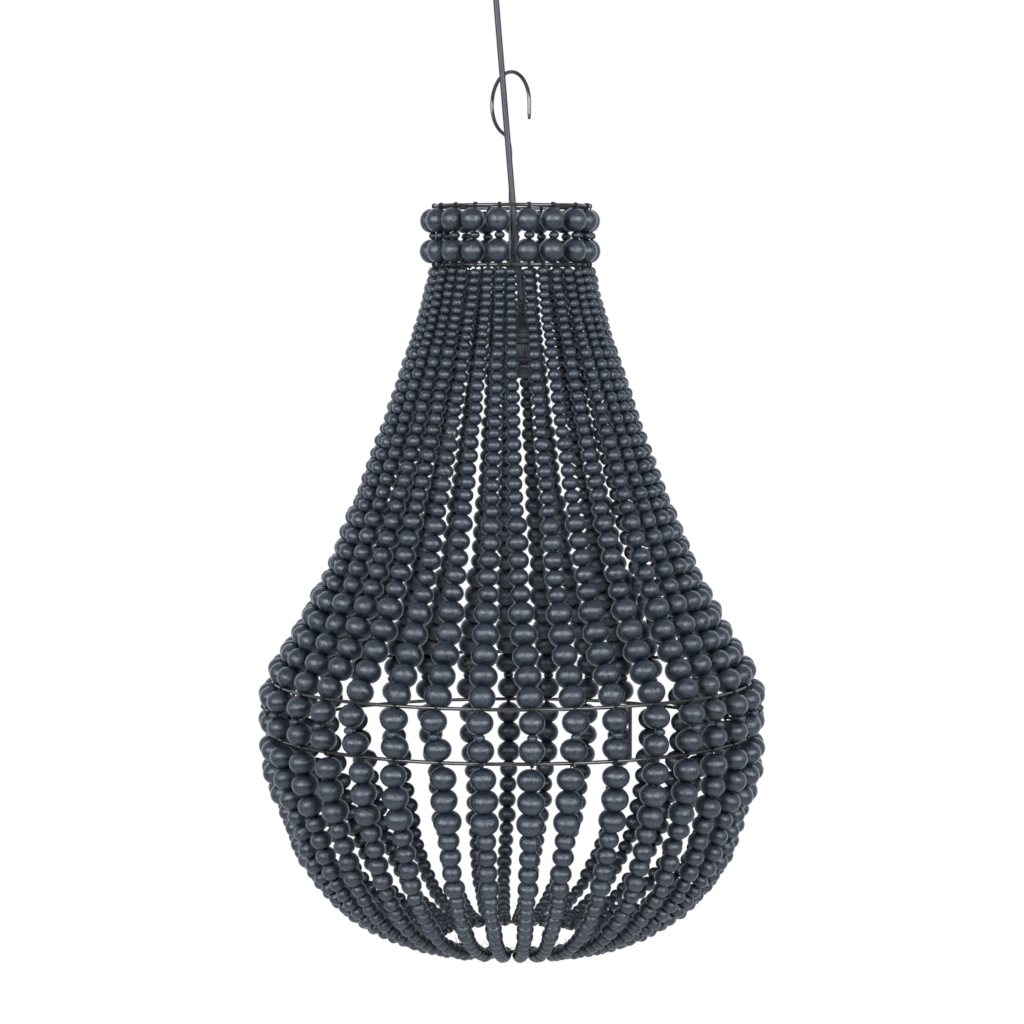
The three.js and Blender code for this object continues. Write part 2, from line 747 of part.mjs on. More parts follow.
/** One short string of the collar, tied to the top ring: large bead, spacer, large bead. */
function collarString(index) {
  const spacing = (2 * Math.PI) / collarStringCount;
  const azimuth = collarStringTurn + (index + shortStrayShares[index % shortStrayShares.length]) * spacing;
  const upperBead = collarHeight - wireClear - collarBeadHeight / 2;
  const lowerBead = wireClear + collarBeadHeight / 2;
  return loft([
    uprightStation(collarRadius, collarHeight, knotWidth * 0.8, 0),
    uprightStation(collarStringRadius, upperBead, collarBeadWidth, 0),
    uprightStation(collarStringRadius, (upperBead + lowerBead) / 2, spacerWidth, 0),
    uprightStation(collarStringRadius, lowerBead, collarBeadWidth, 0),
    uprightStation(collarStringRadius, wireClear + seatGap, knotWidth, 0),
  ].map((station) => sectionOf(station, azimuth)));
}

/** The collar's top ring with the short strings that are tied to it. */
function collarTopRing() {
  const strings = Array.from({ length: collarStringCount }, (_, index) => collarString(index));
  return joined([ringOf(collarRadius, collarHeight, ringSteps), ...strings]);
}

/** Upright wires that stand on a ring, one at each azimuth. */
function uprights(radius, azimuths, from, to, thickness) {
  return azimuths.map((azimuth) => straightWire(
    around(radius, azimuth, from),
    around(radius, azimuth, to),
    thickness,
    wireSides,
  ));
}

/** The collar's lower ring with the four uprights that bear the top ring. */
function collarLowerRing() {
  const azimuths = uprightTurnShares.map((share) => share * 2 * Math.PI);
  const top = collarHeight - wireClear;
  return joined([
    ringOf(collarRadius, 0, ringSteps),
    ...uprights(collarRadius, azimuths, 0, top, collarStrutRadius),
  ]);
}

/** The upper hoop with the four struts that hold the lower hoop off it. */
function upperHoop() {
  const azimuths = Array.from({ length: strutCount }, (_, i) => bellyStrutTurn + (2 * Math.PI * i) / strutCount);
  return joined([
    ringOf(bellyRadius, upperHoopZ, hoopSteps),
    ...uprights(bellyRadius, azimuths, lowerHoopZ + wireClear, upperHoopZ, wireRadius),
  ]);
}

/** Radius of the long strings' centre line at a height. */
function stringRadiusAt(z) {
  const points = longCurve.getSpacedPoints(200);
  return points.find((point) => point.y <= z).x;
}

/** One arm of the carrier, from its ring on the holder out, up beside the strings and to the collar. */
function carrierArm(azimuth, ringZ) {
  const holder = new THREE.Vector3(holderShift, 0, ringZ);
  const beadHalf = longRuns[1].width / 2;
  const beside = (z) => around(stringRadiusAt(z) - beadHalf - armClearance - armRadius, azimuth, z);
  const corner = beside(ringZ + armBend);
  const foot = around((collarRadius - wireRadius) * Math.cos(Math.PI / ringSteps) - seatGap, azimuth, 0);
  const outward = corner.clone().setZ(ringZ).sub(holder).normalize();
  const start = holder.clone().addScaledVector(outward, carrierRingRadius);
  const bendStart = corner.clone().setZ(ringZ).addScaledVector(outward, -armBend);
  const points = [
    start,
    start.clone().lerp(bendStart, 0.5),
    bendStart,
    corner,
    ...armHeightShares.map((share) => beside(share * ringZ)),
    foot.clone().lerp(around(0, azimuth, 0), 0.07),
    foot,
  ];
  return wireAlong(new THREE.CatmullRomCurve3(points, false, 'centripetal'), armRadius, armSides, armSteps);
}

/** Wire carrier: a ring round the holder's sleeve and four arms up to the collar's lower ring. */
function holderCarrier() {
  const ringZ = carrierWireZ - holderDrop;
  const ring = new THREE.TorusGeometry(carrierRingRadius, armRadius, armSides, holderSteps)
    .translate(holderShift, 0, ringZ);
  const arms = Array.from({ length: strutCount }, (_, i) => carrierArm(armTurn + (2 * Math.PI * i) / strutCount, ringZ));
  return joined([ring, ...arms]);
}

/** Bar across the collar's lower ring, just behind the cord. */
function hookBar() {
  const depth = hookDepth();
  const clear = collarRadius - wireRadius - 2 * seatGap;
  const reach = Math.sqrt(clear ** 2 - (depth + wireRadius) ** 2);
  return straightWire(new THREE.Vector3(-reach, depth, 0), new THREE.Vector3(reach, depth, 0), wireRadius, hookSides);
}

/** How far behind the cord's plane the hook and its bar lie. */
function hookDepth() {
  return cordRadius + hookCordGap + hookWireRadius;
}

/** Hanging hook: an eye round the bar, a straight stem and a round bow, in one bent wire. */
function hangingHook() {
  const eyeRadius = wireRadius + seatGap + hookWireRadius;
  const eye = new THREE.TorusGeometry(eyeRadius, hookWireRadius, hookSides, smallSteps).rotateY(Math.PI / 2);
  const neckEnd = new THREE.Vector2(hookRadius * Math.cos(hookBowStart), hookRadius * Math.sin(hookBowStart));
  const neckStart = new THREE.Vector2(0, neckEnd.y - hookNeck);
  const bow = Array.from({ length: bowSteps + 1 }, (_, i) => {
    const angle = hookBowStart * (1 - i / bowSteps);
    return new THREE.Vector2(hookRadius * Math.cos(angle), hookRadius * Math.sin(angle));
  });
  const flat = [
    new THREE.Vector2(0, eyeRadius - hookRise),
    new THREE.Vector2(0, neckStart.y - hookNeck / 5),
    neckStart,
    neckStart.clone().lerp(neckEnd, 0.55).add(new THREE.Vector2(0.12 * hookNeck, 0)),
    ...bow,
    new THREE.Vector2(hookRadius, -hookTail),
  ];
  const points = flat.map(({ x, y }) => new THREE.Vector3(
    x * Math.cos(hookTurn),
    -x * Math.sin(hookTurn),
    y + hookRise,
  ));
  const stem = wireAlong(new THREE.CatmullRomCurve3(points, false, 'centripetal'), hookWireRadius, hookSides, hookSteps);
  return joined([eye, stem]);
}

/** The frame's rings, the carrier and the hook's bar, about the shade's axis at the collar's lower ring. */
function framePieces() {
  return [
    piece('collar_top_ring', collarTopRing(), 'bead'),
    piece('collar_lower_ring', collarLowerRing(), 'wire'),
    piece('upper_hoop', upperHoop(), 'wire'),
    piece('lower_hoop', ringOf(bellyRadius, lowerHoopZ, hoopSteps), 'wire'),
    piece('mouth_ring', ringOf(mouthRadius, mouthZ, ringSteps).translate(mouthShift, 0, 0), 'wire'),
    piece('holder_carrier', holderCarrier(), 'wire'),
    piece('hook_bar', hookBar(), 'wire'),
  ];
}

/** All the long strings, numbered from the one in front. */
function stringPieces() {
  return Array.from({ length: stringCount }, (_, index) => piece(
    `bead_string_${String(index + 1).padStart(2, '0')}`,
    beadString(index),
    'bead',
  ));
}

const shade = groupAt(shadeX, 0, collarZ, [
  ...framePieces(),
  ...stringPieces(),
  groupAt(holderShift, 0, -holderDrop, holderPieces()),
  groupAt(hookShift, hookDepth(), 0, [piece('hanging_hook', hangingHook(), 'wire')]),
]);

const chandelier = new THREE.Group();
chandelier.add(groupAt(0, 0, 0, ceilingPieces()));
chandelier.add(groupAt(0, 0, pivotZ, cordPieces()));
chandelier.add(shade);

export default chandelier;
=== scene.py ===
"""Beaded chandelier: the looks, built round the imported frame. Metres, +Z up, seen from -Y."""

import logging
import math
import random
from dataclasses import dataclass, field
from enum import Enum
from functools import cached_property, partial

import bmesh
import bpy
import numpy as np
from mathutils import Matrix, Vector

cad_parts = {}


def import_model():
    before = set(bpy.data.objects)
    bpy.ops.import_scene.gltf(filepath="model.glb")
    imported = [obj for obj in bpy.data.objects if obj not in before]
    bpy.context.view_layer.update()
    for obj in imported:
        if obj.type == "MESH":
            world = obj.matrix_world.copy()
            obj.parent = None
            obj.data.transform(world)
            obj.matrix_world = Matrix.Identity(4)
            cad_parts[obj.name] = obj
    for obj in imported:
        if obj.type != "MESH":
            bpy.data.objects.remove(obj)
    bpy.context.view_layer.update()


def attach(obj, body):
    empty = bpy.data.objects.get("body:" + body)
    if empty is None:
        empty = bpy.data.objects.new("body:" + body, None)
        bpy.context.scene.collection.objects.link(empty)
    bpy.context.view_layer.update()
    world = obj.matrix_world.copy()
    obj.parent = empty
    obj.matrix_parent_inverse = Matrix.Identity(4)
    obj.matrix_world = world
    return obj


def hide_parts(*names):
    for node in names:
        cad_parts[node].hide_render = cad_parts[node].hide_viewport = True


Faces = np.ndarray | list[tuple[int, ...]]
Part = tuple[np.ndarray, Faces]
Profile = list[tuple[float, float]]
Range = tuple[float, float, float, float]

log = logging.getLogger("chandelier")
MM = 0.001
SEED = 41
ANY_ANGLE = 6.28  # radians, the most that a random angle is
BESIDE = 1.57  # radians, from a heading to its side
DOWN = np.array([0.0, 0.0, -1.0])


class Body(Enum):
    """The bodies that a piece can ride on."""

    CEILING = "ceiling_fitting"
    BUSH = "bush"
    PENDANT = "pendant"
    HOOK = "hook"


# Colour and nodes


def linear(colour: str) -> tuple[float, float, float, float]:
    """Turns an sRGB hex colour into linear light.

    Args:
        colour: six hex digits after a hash.

    Returns:
        Red, green, blue and a full alpha.
    """
    parts = [int(colour[i : i + 2], 16) / 255 for i in (1, 3, 5)]
    light = [c / 12.92 if c <= 0.04045 else ((c + 0.055) / 1.055) ** 2.4 for c in parts]
    return light[0], light[1], light[2], 1.0

def add_node(
    tree: bpy.types.NodeTree,
    kind: str,
    settings: dict[str, object] | None = None,
    inputs: dict[str | int, object] | tuple[object, ...] = (),
) -> bpy.types.Node:
    """Adds a node with its settings and its links.

    Args:
        tree: the material's or the world's node tree.
        kind: the node's type name without its common start.
        settings: values of the node's own properties.
        inputs: in the sockets' order, or for a socket's name or place, each a value, the output that feeds the
            socket, or the node whose first output does.

    Returns:
        The new node.
    """
    node = tree.nodes.new(f"ShaderNode{kind}")
    for name, value in (settings or {}).items():
        setattr(node, name, value)
    for name, value in inputs.items() if isinstance(inputs, dict) else enumerate(inputs):
        source = value.outputs[0] if isinstance(value, bpy.types.Node) else value
        if isinstance(source, bpy.types.NodeSocket):
            tree.links.new(source, node.inputs[name])
        else:
            node.inputs[name].default_value = source
    return node


@dataclass(frozen=True)
class Finish:
    """What every finish has: its name, and the record's slot that it belongs to."""

    name: str
    slot: str

    def shader(self, tree: bpy.types.NodeTree) -> bpy.types.Node:
        """Builds the surface shader in a node tree and returns it. Each finish has its own."""
        raise NotImplementedError

    def material(self) -> bpy.types.Material:
        """Makes the material when it is first asked for.

        Returns:
            The material.
        """
        made = bpy.data.materials.get(self.name)
        if made is None:
            made = bpy.data.materials.new(self.name)
            made.use_nodes = True
            made.node_tree.nodes.clear()
            add_node(made.node_tree, "OutputMaterial", inputs={"Surface": self.shader(made.node_tree)})
        return made


@dataclass(frozen=True)
class StainedBeech(Finish):
    """Beech turned from dowel, stained charcoal, under thin satin lacquer: dark, cool, softly shining.

    The fibres run along the hole, so the shine spreads sideways and breaks into short upright strokes. It is soft
    on the front of a bead and crisp at its rim. Real fibres are about 0.2 mm wide, too fine to show, so they are
    drawn 0.9 mm wide. Here and there, and round the holes, the stain has chipped to pale wood.

    A range is the lowest and the highest value that goes in, and what comes out for each.
    """

    deep: str = "#080d15"
    worn: str = "#14232f"
    bare: str = "#b4afa4"
    fibre_mm: float = 0.9
    grain_mm: float = 6.0
    speck_mm: float = 1.1
    fibre_stretch: tuple[float, float, float] = (1.0, 1.0, 0.1)
    noise_roughness: float = 0.62
    speck_share: float = 0.35
    tone_share: float = 0.35
    shading: Range = (0.98, 1.46, -0.35, 1.0)
    chipping: Range = (0.9, 1.0, 0.8, 0.63)
    edge_share: float = -0.2
    chip_contrast: float = 9.0
    roughness: Range = (0.95, 1.45, 0.29, 0.44)
    rim: Range = (0.52, 0.76, 1.0, 0.1)
    relief: float = 0.65
    relief_mm: float = 0.8

    def shader(self, tree: bpy.types.NodeTree) -> bpy.types.Node:
        """Mixes stain, turning lines, handling marks and chips.

        Args:
            tree: the material's node tree.

        Returns:
            The principled shader.
        """
        add = partial(add_node, tree)
        place = add("Attribute", {"attribute_name": "turning"}).outputs["Vector"]
        bead = add("Attribute", {"attribute_name": "bead"}).outputs["Vector"]
        tone, edge, _ = add("SeparateXYZ", inputs=(bead,)).outputs
        along = add("VectorMath", {"operation": "MULTIPLY"}, (place, self.fibre_stretch))
        fibres, cloud, specks = (
            add(
                "TexNoise",
                inputs={"Vector": vector, "Scale": 1000 / size, "Detail": detail, "Roughness": self.noise_roughness},
            )
            for vector, size, detail in (
                (along, self.fibre_mm, 2.0),
                (place, self.grain_mm, 4.0),
                (place, self.speck_mm, 1.0),
            )
        )
        uneven = add("Math", {"operation": "ADD"}, (fibres, cloud))
        height = add("Math", {"operation": "MULTIPLY_ADD"}, (specks, self.speck_share, uneven))
        shade = add("MapRange", inputs=(height, *self.shading))
        toned = add("Math", {"operation": "MULTIPLY_ADD", "use_clamp": True}, (tone, self.tone_share, shade))
        stain = add("Mix", {"data_type": "RGBA"}, {0: toned, 6: linear(self.deep), 7: linear(self.worn)})
        rubbed = add("MapRange", inputs=(tone, *self.chipping))
        worn = add("Math", {"operation": "MULTIPLY_ADD"}, (edge, self.edge_share, rubbed))
        chip = add("Math", {"operation": "SUBTRACT"}, (specks, worn))
        chipped = add("Math", {"operation": "MULTIPLY", "use_clamp": True}, (chip, self.chip_contrast))
        colour = add("Mix", {"data_type": "RGBA"}, {0: chipped, 6: stain.outputs[2], 7: linear(self.bare)})
        rough = add("MapRange", inputs=(height, *self.roughness))
        facing = add("LayerWeight", inputs={"Blend": 0.5}).outputs["Facing"]
        softness = add("MapRange", inputs=(facing, *self.rim))
        glossed = add("Math", {"operation": "MULTIPLY"}, (rough, softness))
        depth = add("Math", {"operation": "MULTIPLY"}, (softness, self.relief))
        bump = add("Bump", inputs={"Height": height, "Strength": depth, "Distance": self.relief_mm * MM})
        return add(
            "BsdfPrincipled",
            inputs={
                "Base Color": colour.outputs[2],
                "Roughness": glossed,
                "Normal": bump,
                "IOR": 1.6,
                "Coat Weight": 0.15,
                "Coat Roughness": 0.2,
                "Coat IOR": 1.5,
            },
        )


@dataclass(frozen=True)
class Coated(Finish):
    """A smooth coat or moulding: one colour that clouds a little, with a fine uneven skin."""

    colour: str
    cloudy: str
    roughness: float
    spread: float
    metallic: float = 0.0
    ior: float = 1.5
    cloud_mm: float = 9.0
    cloud_range: tuple[float, float] = (0.3, 0.7)
    skin_mm: float = 1.4
    skin_depth_mm: float = 0.05
    skin_strength: float = 0.5
    stretch: tuple[float, float, float] = (1.0, 1.0, 1.0)

    def shader(self, tree: bpy.types.NodeTree) -> bpy.types.Node:
        """Mixes the two tones, the roughness and the skin's bump.

        Args:
            tree: the material's node tree.

        Returns:
            The principled shader.
        """
        add = partial(add_node, tree)
        place = add("TexCoord").outputs["Object"]
        stretched = add("VectorMath", {"operation": "MULTIPLY"}, (place, self.stretch))
        cloud, skin = (
            add("TexNoise", inputs={"Vector": stretched, "Scale": 1000 / size, "Detail": detail})
            for size, detail in ((self.cloud_mm, 4.0), (self.skin_mm, 3.0))
        )
        colour = add("Mix", {"data_type": "RGBA"}, {0: cloud, 6: linear(self.colour), 7: linear(self.cloudy)})
        low, high = self.roughness - self.spread / 2, self.roughness + self.spread / 2
        rough = add("MapRange", inputs=(cloud, *self.cloud_range, low, high))
        depth = self.skin_depth_mm * MM
        bump = add("Bump", inputs={"Height": skin, "Strength": self.skin_strength, "Distance": depth})
        return add(
            "BsdfPrincipled",
            inputs={
                "Base Color": colour.outputs[2],
                "Roughness": rough,
                "Metallic": self.metallic,
                "IOR": self.ior,
                "Normal": bump,
            },
        )


# Beech beads: stained charcoal, lacquered satin.
BEADS = StainedBeech("stained_beech_beads", "bead_wood")
# The small spacers took more stain, and are rubbed lighter on their rims.
SPACERS = StainedBeech(
    "stained_beech_spacers", "bead_wood", "#050a10", "#202c38", fibre_mm=0.8, grain_mm=2.6, speck_mm=0.8
)
# Drawn steel wire, blued and oiled: the oxide skin is no bare metal, so it looks brown-black, with a bright warm
# line along its crown.
WIRE = Coated(
    "blued_steel_wire", "frame_wire", "#120f0d", "#2a231f", 0.24, 0.1,
    ior=1.75, cloud_mm=5.0, skin_mm=3.0, skin_depth_mm=0.1,
)
# Twisted cotton twine, waxed and dyed: dull and fibrous. Its strands are about 0.2 mm, so they are drawn 0.4 mm.
TWINE = Coated("waxed_cotton_twine", "bead_wood", "#0e0f10", "#1c1d1f", 0.85, 0.1, cloud_mm=1.5, skin_mm=0.4)
# Extruded PVC sheath: satin, with faint lines along its length where the cores press through.
SHEATH = Coated(
    "pvc_cord_sheath", "cord_sheath", "#1b1c1f", "#2c2d31", 0.46, 0.12,
    cloud_mm=1.6, skin_mm=1.2, stretch=(1, 1, 0.02),
)
# Moulded phenolic: near black, smooth, faintly cloudy.
PHENOLIC = Coated("moulded_phenolic", "fitting_plastic", "#0f1011", "#17181a", 0.38, 0.1, cloud_mm=6.0)
# Moulded ABS with a fine eroded texture: even satin.
ABS = Coated("moulded_abs", "fitting_plastic", "#101113", "#141517", 0.5, 0.06, skin_mm=0.9, skin_depth_mm=0.08)
# Steatite with a clear glaze: warm white with faint clouds.
STEATITE = Coated("glazed_steatite", "white_ceramic", "#e3ddd0", "#d6cfc0", 0.22, 0.08, cloud_mm=7.0)
# Deep-drawn brass: bright, with drawing marks round the sleeve.
BRASS = Coated(
    "drawn_brass", "contact_brass", "#c9a558", "#b08c45", 0.28, 0.12, 1.0, cloud_mm=4.0, stretch=(1, 1, 6)
)
# Zinc-plated steel: grey with a soft mottled shine.
ZINC = Coated("zinc_plated_steel", "plate_steel", "#a9adb3", "#8f9499", 0.36, 0.16, 1.0, cloud_mm=5.0)


# Shapes


@dataclass
class Shape:
    """Points and faces of one piece in millimetres, gathered part by part."""

    points: list[np.ndarray] = field(default_factory=list)
    faces: list[tuple[int, ...]] = field(default_factory=list)
    places: list[np.ndarray] = field(default_factory=list)
    marks: list[np.ndarray] = field(default_factory=list)
    count: int = 0
    weld_reach: float = 1e-6

    @classmethod
    def of(cls, *parts: Part) -> "Shape":
        """Gathers parts that need no turning frame, tone or worn edge.

        Args:
            parts: points and faces of each.

        Returns:
            The shape.
        """
        shape = cls()
        for points, faces in parts:
            shape.add(points, faces)
        return shape

    def add(
        self,
        points: np.ndarray,
        faces: Faces,
        place: np.ndarray | None = None,
        tone: float = 0.4,
        edge: np.ndarray | float = 0.0,
    ) -> None:
        """Adds one part.

        Args:
            points: its points.
            faces: its faces, counted from its own first point.
            place: where each point lies in the part's own turning frame.
            tone: how light the part is, from 0 to 1.
            edge: how near each point is to a worn edge, from 0 to 1.
        """
        self.points.append(points)
        if isinstance(faces, np.ndarray):
            self.faces.extend(map(tuple, (faces + self.count).tolist()))
        else:
            self.faces.extend(tuple(i + self.count for i in face) for face in faces)
        self.places.append(points if place is None else place)
        blank = np.zeros(len(points))
        self.marks.append(np.stack([blank + tone, blank + edge, blank], axis=1))
        self.count += len(points)

    def piece(
        self,
        name: str,
        finish: Finish,
        body: Body,
        replaces: tuple[str, ...] = (),
        sharp_deg: float = 38.0,
        weld: bool = False,
    ) -> bpy.types.Object:
        """Makes the object, dresses it and sets what it rides on.

        Args:
            name: the object's name.
            finish: its finish.
            body: the body that carries it.
            replaces: the frame's nodes that it stands for.
            sharp_deg: edges that turn more than this stay sharp.
            weld: whether points that meet are made one.

        Returns:
            The new object.
        """
        mesh = bpy.data.meshes.new(name)
        mesh.from_pydata((np.concatenate(self.points) * MM).tolist(), [], self.faces)
        for attribute, values in (
            ("turning", np.concatenate(self.places) * MM),
            ("bead", np.concatenate(self.marks)),
        ):
            kept = mesh.attributes.new(attribute, "FLOAT_VECTOR", "POINT")
            kept.data.foreach_set("vector", values.astype(np.float32).ravel())
        if weld:
            work = bmesh.new()
            work.from_mesh(mesh)
            bmesh.ops.remove_doubles(work, verts=work.verts, dist=self.weld_reach)
            bmesh.ops.recalc_face_normals(work, faces=work.faces)
            work.to_mesh(mesh)
            work.free()
        mesh.shade_smooth()
        mesh.set_sharp_from_angle(angle=math.radians(sharp_deg))
        mesh.materials.append(finish.material())
        made = bpy.data.objects.new(name, mesh)
        bpy.context.scene.collection.objects.link(made)
        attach(made, body.value)
        if replaces:
            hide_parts(*replaces)
        log.info("%s: %d points on %s", name, len(mesh.vertices), body.value)
        return made


def grid_faces(rows: int, columns: int, wrap_rows: bool) -> np.ndarray:
    """Faces of a grid of points whose rows each close on themselves.

    Args:
        rows: how many rows of points there are.
        columns: how many points are in a row.
        wrap_rows: whether the last row joins the first.

    Returns:
        Four point numbers for each face.
    """
    row = np.arange(rows if wrap_rows else rows - 1)[:, None]
    column = np.arange(columns)[None, :]
    under, beside = (row + 1) % rows, (column + 1) % columns
    corners = [row * columns + column, row * columns + beside, under * columns + beside, under * columns + column]
    return np.stack([c.ravel() for c in corners], axis=1)


def turned(profile: Profile, steps: int = 48, closed: bool = True) -> Part:
    """Turns a profile about the Z axis.

    Args:
        profile: pairs of radius and height.
        steps: how many facets go round.
        closed: whether the profile's end joins its start.

    Returns:
        Points and faces.
    """
    angle = np.linspace(0, math.tau, steps, endpoint=False)
    radius, height = np.array(profile, float).T[:, :, None]
    columns = [radius * np.cos(angle), radius * np.sin(angle), np.repeat(height, steps, axis=1)]
    return np.stack(columns, axis=2).reshape(-1, 3), grid_faces(len(profile), steps, closed)


def eased(profile: Profile, radius: float) -> Profile:
    """Rounds a closed profile's corners, apart from those on the axis.

    Args:
        profile: pairs of radius and height.
        radius: how far from a corner its rounding starts.

    Returns:
        The profile with five points at each corner.
    """
    points = [Vector(p) for p in profile]
    made: Profile = []
    for i, corner in enumerate(points):
        if corner.x == 0:
            made.append(tuple(corner))
            continue
        before, after = points[i - 1] - corner, points[(i + 1) % len(points)] - corner
        reach = min(radius, before.length * 0.45, after.length * 0.45)
        start, end = corner + before.normalized() * reach, corner + after.normalized() * reach
        middle = (start + end) / 4 + corner / 2
        first, second = ((p + middle) / 2 * 0.6 + (p * 0.5 + corner * 0.5) * 0.4 for p in (start, end))
        made += [tuple(p) for p in (start, first, middle, second, end)]
    return made


def swept(path: np.ndarray, radius: float | np.ndarray, sides: int = 10, closed: bool = False) -> Part:
    """Round bar along a path.

    Args:
        path: points of its centre line.
        radius: its radius, one for all or one for each point.
        sides: how many facets go round.
        closed: whether the path's end joins its start.

    Returns:
        Points and faces, with the ends capped where the path is open.
    """
    ahead = np.roll(path, -1, axis=0) - np.roll(path, 1, axis=0)
    if not closed:
        ahead[0], ahead[-1] = path[1] - path[0], path[-1] - path[-2]
    ahead /= np.linalg.norm(ahead, axis=1)[:, None]
    upright = abs(ahead[0][2]) >= 0.9
    last = np.array([1.0, 0.0, 0.0]) if upright else -DOWN
    across = []
    for direction in ahead:
        last = last - direction * (last @ direction)
        last = last / np.linalg.norm(last)
        across.append(last)
    side = np.array(across)[:, None, :]
    other = np.cross(ahead, across)[:, None, :]
    angle = np.linspace(0, math.tau, sides, endpoint=False)[None, :, None]
    reach = np.broadcast_to(np.asarray(radius, float), (len(path),))[:, None, None]
    ring = side * np.cos(angle) + other * np.sin(angle)
    points = (path[:, None, :] + ring * reach).reshape(-1, 3)
    faces = [tuple(face[::-1]) for face in grid_faces(len(path), sides, closed).tolist()]
    if not closed:
        faces += [tuple(range(sides)), tuple(range(len(points) - 1, len(points) - 1 - sides, -1))]
    return points, faces


def bezier(points: list[tuple[float, ...]], steps: int) -> np.ndarray:
    """Points on a cubic curve, its end left out.

    Args:
        points: its four control points.
        steps: how many points there are.

    Returns:
        The points.
    """
    a, b, c, d = (np.array(p, float) for p in points)
    t = np.linspace(0, 1, steps, endpoint=False)[:, None]
    return (1 - t) ** 3 * a + 3 * (1 - t) ** 2 * t * b + 3 * (1 - t) * t**2 * c + t**3 * d


def heading(azimuth: float) -> np.ndarray:
    """Direction of an azimuth that is counted from the viewer's side towards +X."""
    return np.array([math.sin(azimuth), -math.cos(azimuth), 0.0])


# The chandelier's own lines, in millimetres


@dataclass(frozen=True)
class Layout:
    """Levels, radii and places that all the pieces share."""

    shade_x: float = 16.859
    pivot_z: float = -34.0
    grip_z: float = -344.0
    collar_z: float = -309.0
    collar_radius: float = 77.0
    collar_height: float = 58.0
    belly_radius: float = 238.0
    upper_hoop_z: float = -722.0
    lower_hoop_z: float = -772.7
    mouth_radius: float = 74.0
    mouth_shift: float = 3.5
    mouth_z: float = -981.2
    wire_radius: float = 1.75
    thread_radius: float = 0.65
    thread_sides: int = 6
    string_count: int = 36
    string_turn: float = math.radians(3.0)
    holder_shift: float = 5.5
    cord_lean: float = math.radians(4.75)
    cord_radius: float = 3.0
    cord_drop: float = 310.0
    cord_tail: float = 9.0
    hook_depth: float = 5.4

    def about(self, radius: float, azimuth: float, z: float) -> np.ndarray:
        """A point about the shade's axis."""
        return heading(azimuth) * radius + np.array([self.shade_x, 0.0, z])


LAYOUT = Layout()


@dataclass(frozen=True)
class BeadKind:
    """One size of turned bead, in millimetres. A lower roundness makes it fuller above and below its middle."""

    width: float
    height: float
    hole: float
    facets: int
    rows: int
    roundness: float = 0.94
    lip: float = 1.35
    bore_height: float = 0.93
    bore_waist: float = 0.94
    edge_reach: float = 0.22
    tilt: float = 0.06
    size_spread: float = 0.02
    smallest: float = -0.05
    largest: float = 0.03
    pattern_reach: float = 900.0

    def template(self) -> Part:
        """A bead about its own centre, its hole along Z.

        Returns:
            Points and faces.
        """
        half, rise = self.width / 2, self.height / 2
        edge = math.acos(min(0.95, self.hole * self.lip / half))
        arc = [
            (half * math.cos(a) ** self.roundness, rise * math.sin(a) / math.sin(edge))
            for a in np.linspace(-edge, edge, self.rows)
        ]
        end = rise * self.bore_height
        inner = [(self.hole, end), (self.hole * self.bore_waist, 0.0), (self.hole, -end)]
        return turned(arc + inner, self.facets)

    def put(
        self, shape: Shape, centre: np.ndarray, along: np.ndarray, chance: random.Random, size: float = 1.0
    ) -> None:
        """Threads one bead of this kind on its string.

        Args:
            shape: the piece that gathers the beads.
            centre: where its middle is.
            along: the string's direction there.
            chance: source of the small differences between hand-turned beads.
            size: a factor on the bead's width.
        """
        points, faces = self.template()
        wobble = Vector([chance.gauss(0, self.tilt) for _ in range(3)])
        axis = (Vector(along).normalized() + wobble).normalized()
        spin = axis.to_track_quat("Z", "Y").to_matrix() @ Matrix.Rotation(chance.uniform(0, ANY_ANGLE), 3, "Z")
        grow = size * (1 + max(self.smallest, min(self.largest, chance.gauss(0, self.size_spread))))
        local = points * np.array([grow, grow, 1 + chance.uniform(-self.size_spread, self.size_spread)])
        offset = np.array([chance.uniform(0, self.pattern_reach) for _ in range(3)])
        reach = np.hypot(points[:, 0], points[:, 1])
        edge = np.clip(1 - (reach - self.hole) / (self.edge_reach * self.width), 0, 1) ** 2
        shape.add(local @ np.array(spin).T + centre, faces, local + offset, chance.random(), edge)


TINY = BeadKind(11.9, 8.1, 1.5, 16, 9, 0.7)
SMALL = BeadKind(14.1, 11.4, 1.7, 16, 9, 0.82)
MEDIUM = BeadKind(16.0, 13.2, 1.9, 20, 10, 0.88)
LARGE = BeadKind(20.0, 17.0, 2.2, 24, 12)
GREAT = BeadKind(25.8, 21.6, 2.6, 32, 14)
SPACER = BeadKind(10.4, 7.3, 1.4, 14, 8)
COLLAR_BEAD = BeadKind(23.8, 23.0, 2.5, 32, 14)


